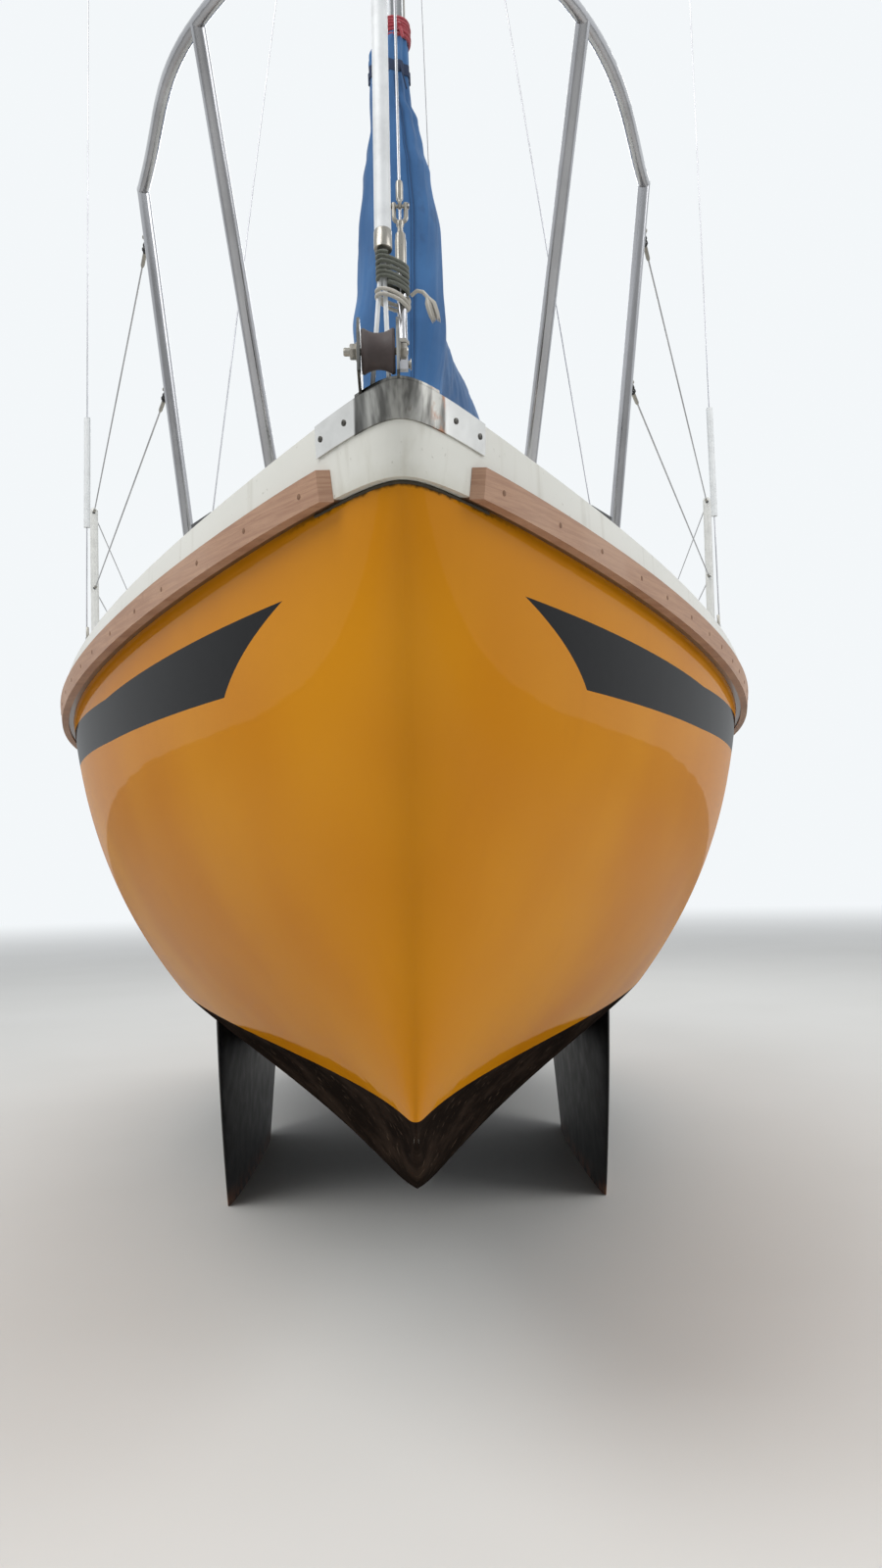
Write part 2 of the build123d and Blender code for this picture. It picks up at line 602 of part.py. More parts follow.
with BuildPart() as luff_spar:
    rod(SPAR_FOOT, SPAR_HEAD, SPAR_R)
    # legs from inside the spar's foot to the bow plate between the cheeks, wire tail to the masthead
    leg_top = along_line(SPAR_FOOT, SPAR_HEAD, LEG_IN_SPAR)
    for y in TAIL_YS:
        rod((TAIL_X, y, line_z(RAIL, TAIL_X) + 6.0), leg_top, 4.0)
    rod(SPAR_HEAD, (MAST_X + MAST_LONG / 2 + 3.3, 0, MAST_HEAD - 60), 3.0)
save(luff_spar, "luff_spar")

for side, name in ((1, "port"), (-1, "starboard")):
    foot_z = line_z(RAIL, SHROUD_X) - DECK_DROP
    foot = (SHROUD_X, side * SHROUD_Y, foot_z + 48)
    tip = (MAST_X - 85, side * (SPREADER_Y - 2), SPREADER_Z + 41)
    head = (MAST_X, side * (MAST_WIDE / 2 + WIRE_R + GAP), HOUNDS_Z)
    with BuildPart() as cap_shroud:
        rod(foot, tip, WIRE_R)
        rod(tip, head, WIRE_R)
        with Locations(tip):
            Sphere(WIRE_R + 0.2)
        screw(foot, tip)
    save(cap_shroud, "cap_shroud_" + name)
    length = (Vector(*tip) - Vector(*foot)).length
    with BuildPart() as shroud_tube:
        rod(along_line(foot, tip, 610 / length), along_line(foot, tip, 990 / length), 11.0)
        rod(foot, tip, WIRE_R + GAP, mode=Mode.SUBTRACT)
    save(shroud_tube, "shroud_tube_" + name)
    with BuildPart() as cap_plate:
        block(SHROUD_X - 20, SHROUD_X + 20, side * (SHROUD_Y - 14), side * (SHROUD_Y - 8.3), foot_z - 10,
              foot_z + 62)
        block(SHROUD_X - 30, SHROUD_X + 30, side * (SHROUD_Y - 30), side * (SHROUD_Y + 30), foot_z - 10,
              foot_z + 5)
        seat()
    save(cap_plate, "chainplate_cap_" + name)

    low_z = line_z(RAIL, LOWER_X) - DECK_DROP
    low_foot = (LOWER_X, side * LOWER_Y, low_z + 48)
    low_head = (MAST_X, side * (MAST_WIDE / 2 + WIRE_R + GAP), SPREADER_Z - 60)
    with BuildPart() as lower_shroud:
        rod(low_foot, low_head, WIRE_R)
        screw(low_foot, low_head)
        # eye plate on the side deck
        block(LOWER_X - 20, LOWER_X + 20, side * (LOWER_Y - 3), side * (LOWER_Y + 3), low_z - 5, low_z + 62)
        block(LOWER_X - 30, LOWER_X + 30, side * (LOWER_Y - 20), side * (LOWER_Y + 20), low_z - 10,
              low_z + 6)
        seat()
    save(lower_shroud, "lower_shroud_" + name)

BACK_FOOT = (BACKSTAY_X - 60.0, BACK_Y, 1894.0)
with BuildPart() as back_plate:
    block(BACKSTAY_X - 80, BACKSTAY_X + 100, BACK_Y - 3, BACK_Y + 3, 1700, 1912)
    add(hull_form(FLANGE_OUT + GAP, False) & side_band(RAIL, 3000.0, RAIL, -GAP), mode=Mode.SUBTRACT)
    block(BACKSTAY_X - 20, BACKSTAY_X + 200, 0, 400, 1600, 2000, mode=Mode.SUBTRACT)
with BuildPart() as backstay:
    rod(BACK_FOOT, (MAST_X - 90, 0, MAST_HEAD - 6), WIRE_R)
    screw(BACK_FOOT, (MAST_X - 90, 0, MAST_HEAD - 6))
    # chainplate on the transom
    add(back_plate.part)
save(backstay, "backstay")

# --- pulpit, pushpit, stanchions and guard wires ---
TUBE_R = 12.5
PULPIT_TOP = 2690.0


def deck_z(x):
    return line_z(RAIL, x) - DECK_DROP


def base_plate(x, y, radius=32.0):
    disc(x, y, deck_z(x), radius, 14.0)


# aft and forward legs of the pulpit, starboard mirrored
PULPIT_AFT = ((2535.0, 463.0), (2760.0, 525.0, PULPIT_TOP - 5))
PULPIT_FORE = ((2925.0, 237.0), (3320.0, 325.0, PULPIT_TOP))

with BuildPart() as pulpit:
    with BuildLine() as hoop:
        Spline(PULPIT_AFT[1], PULPIT_FORE[1], (3600, 0, PULPIT_TOP + 8), (3320, -325, PULPIT_TOP),
               (2760, -525, PULPIT_TOP - 5), tangents=[(1, -0.33, 0), (-1, -0.33, 0)])
    with BuildSketch(Plane(origin=PULPIT_AFT[1], z_dir=(1, -0.33, 0))):
        Circle(TUBE_R)
    sweep(path=hoop.line)
    for s in (1, -1):
        with Locations((2760, s * 525, PULPIT_TOP - 5)):
            Sphere(TUBE_R + 0.5)
        for foot, top in (PULPIT_AFT, PULPIT_FORE):
            rod((foot[0], s * foot[1], deck_z(foot[0]) - 3), (top[0], s * top[1], top[2]), TUBE_R)
            base_plate(foot[0], s * foot[1])
    seat()
save(pulpit, "pulpit")

PUSHPIT_TOP = 2440.0
with BuildPart() as pushpit:
    with BuildLine() as rail:
        Polyline((-2500, 1020, PUSHPIT_TOP), (-3290, 800, PUSHPIT_TOP), (-3330, 760, PUSHPIT_TOP),
                 (-3330, -760, PUSHPIT_TOP), (-3290, -800, PUSHPIT_TOP), (-2500, -1020, PUSHPIT_TOP))
    with BuildSketch(Plane(origin=(-2500, 1020, PUSHPIT_TOP), z_dir=(-790, -220, 0))):
        Circle(TUBE_R)
    sweep(path=rail.line, transition=Transition.ROUND)
    for s in (1, -1):
        with Locations((-2500, s * 1020, PUSHPIT_TOP)):
            Sphere(TUBE_R + 0.5)
        for x, xt, yt in ((-2480, -2500, 1020), (-3240, -3290, 800)):
            y = rail_inside(x) - 40
            rod((x, s * y, deck_z(x) - 3), (xt, s * yt, PUSHPIT_TOP), TUBE_R)
            base_plate(x, s * y)
    seat()
save(pushpit, "pushpit")

STANCHIONS = (("front", 1290.0, rail_inside(1290.0) - 40), ("aft", -620.0, rail_inside(-620.0) - 40))
STANCHION_HIGH = 592.0
WIRE_TOP, WIRE_MID = 585.0, 345.0
WIRE_LEVELS = (
    # level, height on the stanchions, z on the pulpit, z on the pushpit
    ("upper", WIRE_TOP, 2608.0, PUSHPIT_TOP - 55),
    ("lower", WIRE_MID, 2309.0, PUSHPIT_TOP - 320),
)
for side, name in ((1, "port"), (-1, "starboard")):
    runs = []
    for level, at, pulpit_z, pushpit_z in WIRE_LEVELS:
        (foot_x, foot_y), top = PULPIT_AFT
        share = (pulpit_z - deck_z(foot_x)) / (top[2] - deck_z(foot_x))
        start = (foot_x + (top[0] - foot_x) * share - 13.6, side * (foot_y + (top[1] - foot_y) * share + 2),
                 pulpit_z)
        share = (pushpit_z - deck_z(-2480)) / (PUSHPIT_TOP - deck_z(-2480))
        foot_y = rail_inside(-2480) - 40
        end = (-2480 - 20 * share + 13, side * (foot_y + (1020 - foot_y) * share + 2), pushpit_z)
        points = [start] + [(x, side * y, deck_z(x) + at) for _, x, y in STANCHIONS] + [end]
        with BuildPart() as guard_wire:
            with BuildLine() as run:
                Polyline(*points)
            with BuildSketch(Plane(origin=points[0], z_dir=run.line % 0)):
                Circle(2.0)
            sweep(path=run.line, transition=Transition.ROUND)
        save(guard_wire, "guard_wire_" + level + "_" + name)
        runs += list(zip(points, points[1:], points[2:]))
    for label, x, y in STANCHIONS:
        with BuildPart() as stanchion:
            z = deck_z(x)
            rod((x, side * y, z - 3), (x, side * y, z + STANCHION_HIGH), TUBE_R)
            with Locations((x, side * y, z + STANCHION_HIGH)):
                Sphere(TUBE_R)
            base_plate(x, side * y, 38.0)
            disc(x, side * y, z + 22, 18.0, 46)
            seat()
            # holes for the guard wires, along the mean of each wire's two runs
            for before, here, after in runs:
                if abs(here[0] - x) < 1:
                    here = Vector(*here)
                    heading = (here - Vector(*before)).normalized() + (Vector(*after) - here).normalized()
                    reach = heading.normalized() * 25
                    rod(here - reach, here + reach, 5.0, mode=Mode.SUBTRACT)
        save(stanchion, "stanchion_" + label + "_" + name)

# --- deck gear ---
for label, x, y, turn in (("bow", 2850.0, 0.0, 0), ("stern_port", -3230.0, 560.0, 90),
                          ("stern_starboard", -3230.0, -560.0, 90)):
    with BuildPart() as cleat:
        with Locations(Location((x, y, deck_z(x) + GAP), (0, 0, turn))):
            with Locations((0, 0, -2)):
                Box(70, 30, 20)
            with Locations((-26, 0, 20), (26, 0, 20)):
                Box(16, 14, 30)
            # horns that thin towards their ends
            with Locations(Location((0, 0, 38), (0, 90, 0)), Location((0, 0, 38), (0, -90, 0))):
                Cone(8.5, 5.5, 88, align=FOOT)
        seat()
    save(cleat, "cleat_" + label)

FAIRLEAD_X, FAIRLEAD_Y = 2790.0, 398.0
FAIRLEAD = ((-60, -12), (60, -12), (34, 30), (14, 30), (20, 12), (-20, 12), (-14, 30), (-34, 30))
WINCH_X, WINCH_Y = -1600.0, (COAMING_IN + COAMING_OUT) / 2
GRAB_Y = 560.0
for side, name in ((1, "port"), (-1, "starboard")):
    with BuildPart() as fairlead:
        foot = (FAIRLEAD_X, side * FAIRLEAD_Y, line_z(RAIL, FAIRLEAD_X))
        with BuildSketch(Plane(origin=foot, x_dir=(0.88, -side * 0.47, 0), z_dir=(side * 0.47, 0.88, 0))):
            with BuildLine():
                Polyline(*FAIRLEAD, close=True)
            make_face()
        extrude(amount=14, both=True)
        seat()
    save(fairlead, "fairlead_" + name)
    with BuildPart() as grab_rail:
        for x in (900.0, 300.0, -300.0, -900.0):
            block(x - 40, x + 40, side * GRAB_Y - 12, side * GRAB_Y + 12, 2190, 2262)
        block(-960, 960, side * GRAB_Y - 12, side * GRAB_Y + 12, 2250, 2276)
        add(roof_form(-GAP, 1500.0), mode=Mode.SUBTRACT)
    save(grab_rail, "grab_rail_" + name)
    with BuildPart() as winch:
        with Locations((WINCH_X, side * WINCH_Y, COAMING_Z + GAP)):
            Cylinder(32, 16, align=FOOT)
        with Locations((WINCH_X, side * WINCH_Y, COAMING_Z + 16)):
            Cone(29, 24, 48, align=FOOT)
        with Locations((WINCH_X, side * WINCH_Y, COAMING_Z + 64)):
            Cylinder(32, 22, align=FOOT)
    save(winch, "winch_" + name)
    # --- windows ---
    with BuildPart() as pane:
        add(roof_form(8.0, 1650.0))
        add(roof_form(14.0, 1600.0), mode=Mode.SUBTRACT)
        add(window_prism(-GAP), mode=Mode.INTERSECT)
        block(-4000, 4000, 0, -side * 2000, 0, 3000, mode=Mode.SUBTRACT)
    save(pane, "window_" + name)
    # --- cockpit locker lids and companionway doors ---
    with BuildPart() as lid:
        x1, x2, y1, y2 = LOCKER
        block(x1, x2, side * y1, side * y2, SEAT_Z + GAP, SEAT_Z + 22)
    save(lid, "locker_lid_" + name)
    with BuildPart() as door:
        block(-1345.3, -1325.3, side * 2.6, side * 318, 1572, 2258)
    save(door, "door_" + name)

with BuildPart() as sliding_hatch:
    block(-1358, -630, -316, 316, 2268, 2290)
    for s in (1, -1):
        block(-1290, -632, s * 300, s * 350, 2284 + GAP, 2298)
save(sliding_hatch, "sliding_hatch")

with BuildPart() as fore_hatch:
    x1, x2, y, z = FORE_HATCH
    block(x1 - 45, x2 + 45, -y - 45, y + 45, z + GAP, z + 34)
    fillet(fore_hatch.edges().filter_by(Axis.Z), radius=50)
save(fore_hatch, "fore_hatch")

# --- cabin inside ---
INNER = hull_form(-HULL_WALL - GAP)
BERTH_Z, CABIN_SOLE_Z, BERTH_WALL = 1130.0, 560.0, 20.0
CABIN_X1, CABIN_X2 = -1285.0, 2350.0
BULKHEAD_X = 1000.0
with BuildPart() as berths:
    add(INNER)
    block(CABIN_X1, CABIN_X2, -2000, 2000, CABIN_SOLE_Z - BERTH_WALL, BERTH_Z, mode=Mode.INTERSECT)
    block(CABIN_X1 - 5, BULKHEAD_X, -300, 300, CABIN_SOLE_Z, 1200, mode=Mode.SUBTRACT)
    # spaces under the berths
    for s in (1, -1):
        block(CABIN_X1 + BERTH_WALL, BULKHEAD_X, s * 320, s * 2000, 500, BERTH_Z - BERTH_WALL,
              mode=Mode.SUBTRACT)
    block(BULKHEAD_X + BERTH_WALL, CABIN_X2 - BERTH_WALL, -2000, 2000, 500, BERTH_Z - BERTH_WALL,
          mode=Mode.SUBTRACT)
save(berths, "berth_moulding")

with BuildPart() as bulkhead:
    add(INNER)
    block(BULKHEAD_X - 15, BULKHEAD_X, -2000, 2000, BERTH_Z + GAP, 1700, mode=Mode.INTERSECT)
    block(900, 1100, -270, 270, 1100, 1650, mode=Mode.SUBTRACT)
save(bulkhead, "bulkhead")
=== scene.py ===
import json
import random
from math import atan, cos, exp, hypot, pi, radians, sin, tau

import bmesh
import bpy
from mathutils import Matrix, Vector, noise
from mathutils.bvhtree import BVHTree

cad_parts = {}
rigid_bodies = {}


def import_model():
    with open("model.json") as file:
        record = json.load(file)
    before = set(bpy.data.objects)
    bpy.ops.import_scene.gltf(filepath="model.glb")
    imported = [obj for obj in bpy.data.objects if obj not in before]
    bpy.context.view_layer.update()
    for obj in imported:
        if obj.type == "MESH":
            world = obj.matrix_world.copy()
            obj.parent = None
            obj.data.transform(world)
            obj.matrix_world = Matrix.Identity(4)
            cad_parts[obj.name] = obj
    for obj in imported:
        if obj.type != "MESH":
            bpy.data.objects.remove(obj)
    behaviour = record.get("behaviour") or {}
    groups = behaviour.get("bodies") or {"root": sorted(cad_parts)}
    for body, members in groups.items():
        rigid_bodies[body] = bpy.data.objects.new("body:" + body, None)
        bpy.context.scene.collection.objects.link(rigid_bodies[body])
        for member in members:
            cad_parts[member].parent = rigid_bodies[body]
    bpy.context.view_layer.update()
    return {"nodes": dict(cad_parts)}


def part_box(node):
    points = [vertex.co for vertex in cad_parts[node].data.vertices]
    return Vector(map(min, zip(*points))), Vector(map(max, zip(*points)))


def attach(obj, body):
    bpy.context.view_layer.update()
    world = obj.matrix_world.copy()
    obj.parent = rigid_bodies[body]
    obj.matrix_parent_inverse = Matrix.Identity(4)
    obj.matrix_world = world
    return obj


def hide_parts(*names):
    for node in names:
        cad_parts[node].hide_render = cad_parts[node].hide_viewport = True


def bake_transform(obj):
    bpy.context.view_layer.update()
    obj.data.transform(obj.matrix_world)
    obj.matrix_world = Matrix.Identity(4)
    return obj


for old in list(bpy.data.objects):
    bpy.data.objects.remove(old)
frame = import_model()
scene = bpy.context.scene
scene.view_settings.view_transform = "Standard"
NODES = frame["nodes"]
GRAPH = bpy.context.evaluated_depsgraph_get()
random.seed(7)


def vec(x, y, z):
    return Vector((x, y, z))


MM = 0.001
X, Y, Z = vec(1, 0, 0), vec(0, 1, 0), vec(0, 0, 1)

# --- lines of the boat, metres, +X bow, +Y port, +Z up ---
Z_BOOT = 0.78
# x and z at the bow, x and z of the lowest point, z at the stern
SHEER = (3.4, 1.957, -0.27, 1.755, 1.816)
RAIL = (3.4, 2.047, -0.105, 1.797, 1.862)         # the same for the top of the toe rail
X_STERN = -3.4
FLANGE_DROP = 0.05
DECK_DROP = 0.042
GOOSE = vec(0.958, 0, 3.15)
BOOM_TURN = radians(12)                           # to port, seen from the mast
BOOM_X = vec(-cos(BOOM_TURN), sin(BOOM_TURN), 0)
BOOM_Y = vec(-sin(BOOM_TURN), -cos(BOOM_TURN), 0)
MAST = (1.04, 0.056, 0.038)                       # x, half long, half wide
STAY_FOOT, STAY_HEAD = vec(3.3, 0.008, 2.112), vec(1.102, 0.006, 10.42)
SPAR_FOOT, SPAR_HEAD = vec(3.302, -0.022, 2.305), vec(1.215, 0, 10.18)

# --- sky, lamps and the camera of the photo ---
SKY_SEEN, SKY_LIGHT, SKY_STRENGTH = (0.9, 0.93, 0.95, 1), (0.92, 0.95, 1, 1), 0.62
LAMPS = (
    # name, place, aim, size, power
    ("key", (5.5, -4.5, 8.5), (0.5, 0, 1.6), 7, 520),
    ("fill", (4, 6.5, 5.5), (1, 0, 1.4), 6, 240),
    ("back", (-7, 1, 8), (0, 0, 1.5), 6, 260),
)
EYE, EYE_YAW, EYE_PITCH, EYE_ROLL, EYE_LENS = (5.54, 0.0007, 1.29), -1.37, -2.867, -1.363, 31.16


def line_z(line, x):
    x0, z0, x_low, z_low, z_stern = line
    if x > x_low:
        return z_low + (z0 - z_low) * ((x - x_low) / (x0 - x_low)) ** 2
    return z_low + (z_stern - z_low) * ((x - x_low) / (X_STERN - x_low)) ** 2


def linear(r, g, b):
    """A colour from its 0 to 255 values."""
    def one(c):
        c = c / 255
        return c / 12.92 if c <= 0.04045 else ((c + 0.055) / 1.055) ** 2.4
    return (one(r), one(g), one(b), 1)


# --- camera, light and floor ---
def camera():
    yaw, pitch, roll = radians(EYE_YAW), radians(EYE_PITCH), radians(EYE_ROLL)
    turn = Matrix.Rotation(yaw, 3, "Z")
    ahead, right, up = turn @ vec(-1, 0, 0), turn @ Y, Z
    look = ahead * cos(pitch) - up * sin(pitch)
    up2 = up * cos(pitch) + ahead * sin(pitch)
    right3 = right * cos(roll) + up2 * sin(roll)
    up3 = up2 * cos(roll) - right * sin(roll)
    data = bpy.data.cameras.new("camera")
    data.sensor_fit = "AUTO"
    data.sensor_width = 36
    data.lens = EYE_LENS
    data.clip_end = 400
    eye = bpy.data.objects.new("camera", data)
    axes = Matrix((right3, up3, -look)).transposed().to_4x4()
    eye.matrix_world = Matrix.Translation(EYE) @ axes
    scene.collection.objects.link(eye)
    scene.camera = eye


def lamp(name, place, aim, size, power):
    data = bpy.data.lights.new(name, "AREA")
    data.shape = "DISK"
    data.size = size
    data.energy = power
    lamp_obj = bpy.data.objects.new(name, data)
    lamp_obj.location = place
    lamp_obj.rotation_euler = (Vector(aim) - Vector(place)).to_track_quat("-Z", "Y").to_euler()
    scene.collection.objects.link(lamp_obj)


def fill(tree, socket, value):
    """Links a socket to another one, or sets its constant."""
    if isinstance(value, bpy.types.NodeSocket):
        tree.links.new(value, socket)
    elif value is not None:
        socket.default_value = value


def add_node(tree, kind, **values):
    """A new shader node with some of its inputs filled."""
    node = tree.nodes.new("ShaderNode" + kind)
    for name, value in values.items():
        fill(tree, node.inputs[name.replace("_", " ")], value)
    return node


def world():
    """A pale sky as the camera sees it, and a softer one as light."""
    sky = bpy.data.worlds.new("world")
    sky.use_nodes = True
    scene.world = sky
    tree = sky.node_tree
    tree.nodes.clear()
    seen = add_node(tree, "Background", Color=SKY_SEEN, Strength=1)
    light = add_node(tree, "Background", Color=SKY_LIGHT, Strength=SKY_STRENGTH)
    path = add_node(tree, "LightPath").outputs
    share = path["Is Camera Ray"]
    for ray in ("Is Glossy Ray", "Is Transmission Ray"):
        both = add_node(tree, "Math")
        both.operation = "ADD"
        both.use_clamp = True
        fill(tree, both.inputs[0], share)
        fill(tree, both.inputs[1], path[ray])
        share = both.outputs[0]
    mixer = add_node(tree, "MixShader")
    for socket, value in zip(mixer.inputs, (share, light.outputs[0], seen.outputs[0])):
        fill(tree, socket, value)
    add_node(tree, "OutputWorld", Surface=mixer.outputs[0])


class Net:
    """A node material that is built up line by line; colours are 0 to 255 values."""

    def __init__(self, name, rough=0.5, metal=0, **extra):
        self.mat = bpy.data.materials.new(name)
        self.mat.use_nodes = True
        self.tree = self.mat.node_tree
        self.bsdf = self.tree.nodes["Principled BSDF"]
        for key, value in dict(extra, Roughness=rough, Metallic=metal).items():
            self.bsdf.inputs[key.replace("_", " ")].default_value = value
        self.coord = self.add("TexCoord").outputs["Object"]
        self.xyz = self.add("SeparateXYZ", Vector=self.coord).outputs

    def add(self, kind, **values):
        return add_node(self.tree, kind, **values)

    def put(self, socket, value):
        fill(self.tree, socket, value)

    def math(self, kind, *values):
        node = self.add("Math")
        node.operation = kind
        for socket, value in zip(node.inputs, values):
            self.put(socket, value)
        return node.outputs[0]

    def times(self, a, b):
        return self.math("MULTIPLY", a, b)

    def line(self, value, slope, start):
        return self.math("MULTIPLY_ADD", value, slope, start)

    def step(self, value, low, high):
        """0 at low, 1 at high, smooth between; low may be the larger."""
        flip = low > high
        node = self.add("MapRange", Value=value, From_Min=min(low, high), From_Max=max(low, high),
                        To_Min=1 if flip else 0, To_Max=0 if flip else 1)
        node.interpolation_type = "SMOOTHSTEP"
        return node.outputs[0]

    def scaled(self, x, y, z):
        return self.add("Mapping", Vector=self.coord, Scale=(x, y, z)).outputs[0]

    def noise(self, scale, detail=3, vector=None, rough=0.5, twist=0):
        return self.add("TexNoise", Vector=vector or self.coord, Scale=scale, Detail=detail, Roughness=rough,
                        Distortion=twist).outputs["Fac"]

    def cells(self, scale):
        return self.add("TexVoronoi", Vector=self.coord, Scale=scale).outputs["Distance"]

    def wave(self, scale, axis, twist):
        node = self.add("TexWave", Vector=self.coord, Scale=scale, Distortion=twist, Detail=2)
        node.bands_direction = axis
        return node.outputs["Fac"]

    def mix(self, share, a, b):
        node = self.add("Mix")
        node.data_type = "RGBA"
        self.put(node.inputs[0], share)
        for socket, value in ((node.inputs[6], a), (node.inputs[7], b)):
            self.put(socket, linear(*value) if isinstance(value, tuple) and len(value) == 3 else value)
        return node.outputs[2]

    def over(self, base, mask, share, tone):
        """A colour laid over the base where the mask is, up to a share."""
        return self.mix(self.times(mask, share), base, tone)

    def normal(self):
        return self.add("SeparateXYZ", Vector=self.add("NewGeometry").outputs["True Normal"]).outputs

    def colour(self, value):
        self.put(self.bsdf.inputs["Base Color"], value)

    def rough(self, value, low, high):
        """Roughness from low to high along a 0 to 1 value."""
        node = self.add("MapRange", Value=value, To_Min=low, To_Max=high)
        self.put(self.bsdf.inputs["Roughness"], node.outputs[0])

    def bump(self, height, strength=0.3, distance=0.002):
        node = self.add("Bump", Strength=strength, Distance=distance, Height=height)
        socket = self.bsdf.inputs["Normal"]
        if socket.is_linked:
            self.put(node.inputs["Normal"], socket.links[0].from_socket)
        self.put(socket, node.outputs[0])

    def sheer(self, line, drop=0):
        """Height above a sheer line that lies `drop` lower."""
        x0, z0, x_low, z_low, z_stern = line
        run = self.math("SUBTRACT", self.xyz[0], x_low)
        fore = (z0 - z_low) / (x0 - x_low) ** 2
        aft = (z_stern - z_low) / (X_STERN - x_low) ** 2
        slope = self.line(self.math("GREATER_THAN", run, 0), fore - aft, aft)
        return self.math("SUBTRACT", self.xyz[2], self.line(self.times(run, run), slope, z_low - drop))


# stripe on the topsides: top and bottom line, tip and corner of its slanted front
STRIPE_TOP, STRIPE_LOW = 1.702, 1.594
STRIPE_TIP, STRIPE_CORNER = (3.073, 1.754), (2.836, 1.608)
STRIPE_AFT, STRIPE_BEND, STRIPE_TOP_RISE, STRIPE_LOW_RISE = -3.05, 2.05, 0.0515, 0.017
HULL_GLOSS = 0.26


def hull_material():
    n = Net("hull_gelcoat", rough=0.3, Specular_IOR_Level=0, Coat_Weight=HULL_GLOSS, Coat_Roughness=0.04)
    x, y, z = n.xyz
    cloud = n.noise(1.3, 2)
    speck = n.noise(240, 1)
    yellow = n.mix(n.step(cloud, 0.35, 0.68), (188, 118, 11), (199, 131, 17))
    yellow = n.over(yellow, speck, 0.06, (206, 146, 50))
    # faint vertical sanding marks of a hand repair
    marks = n.noise(14, 2, n.scaled(1, 1, 0.06))
    yellow = n.over(yellow, n.step(marks, 0.55, 0.8), 0.1, (168, 104, 12))
    # painted shade: gelcoat darkened just under the strake, where its shadow falls
    strake_shade = n.step(n.sheer(SHEER, 0.05), -0.26, 0)
    yellow = n.over(yellow, strake_shade, 0.3, (170, 104, 14))
    # black stripe
    ahead = n.math("MAXIMUM", n.math("SUBTRACT", x, STRIPE_BEND), 0)
    top = n.line(ahead, STRIPE_TOP_RISE, STRIPE_TOP)
    low = n.line(ahead, STRIPE_LOW_RISE, STRIPE_LOW)
    lean = (STRIPE_TIP[0] - STRIPE_CORNER[0]) / (STRIPE_TIP[1] - STRIPE_CORNER[1])
    rise = n.math("SUBTRACT", z, STRIPE_CORNER[1])
    hollow = n.times(n.times(rise, n.math("SUBTRACT", z, STRIPE_TIP[1])), 4.6)
    edge = n.math("ADD", n.line(rise, lean, STRIPE_CORNER[0]), hollow)
    inside = n.times(n.math("LESS_THAN", z, top), n.math("GREATER_THAN", z, low))
    inside = n.times(inside, n.math("LESS_THAN", x, edge))
    inside = n.times(inside, n.math("GREATER_THAN", x, STRIPE_AFT))
    black = n.mix(n.noise(60), (14, 14, 15), (24, 24, 26))
    paint = n.mix(inside, yellow, black)
    # antifouling below the boot top
    scrape = n.noise(9, 5, n.scaled(0.35, 0.35, 1), 0.65)
    foul = n.mix(n.step(scrape, 0.4, 0.66), (28, 23, 20), (48, 39, 33))
    foul = n.mix(n.step(n.noise(38, 4), 0.6, 0.74), foul, (72, 60, 50))
    above = n.math("GREATER_THAN", z, Z_BOOT)
    paint = n.mix(above, foul, paint)
    # the dark joint under the flange
    ragged = n.line(n.noise(70, 4), 0.014, n.sheer(SHEER, 0.054))
    joint = n.times(n.step(ragged, 0, 0.008), n.step(x, 3, 3.3))
    paint = n.mix(joint, paint, (38, 36, 22))
    # inner side of the shell is left in white flow coat
    normal = n.normal()
    out = n.math("ADD", n.times(normal[0], x), n.times(normal[1], y))
    out = n.math("ADD", out, n.times(normal[2], n.math("SUBTRACT", z, 1.3)))
    shell = n.math("GREATER_THAN", out, 0)
    flow = n.mix(n.noise(30), (214, 210, 200), (196, 192, 182))
    n.colour(n.mix(shell, flow, paint))
    below = n.math("SUBTRACT", 1, above)
    dull = n.math("MAXIMUM", below, joint)
    dull = n.math("MAXIMUM", dull, n.math("SUBTRACT", 1, shell))
    n.rough(dull, 0.3, 0.62)
    n.put(n.bsdf.inputs["Coat Weight"], n.line(dull, -HULL_GLOSS, HULL_GLOSS))
    weave = n.noise(5, 1.5, n.scaled(1, 1, 0.7))
    n.bump(weave, 0.16, 0.01)
    n.bump(n.times(n.noise(150, 4), below), 0.35, 0.0012)
    return n.mat


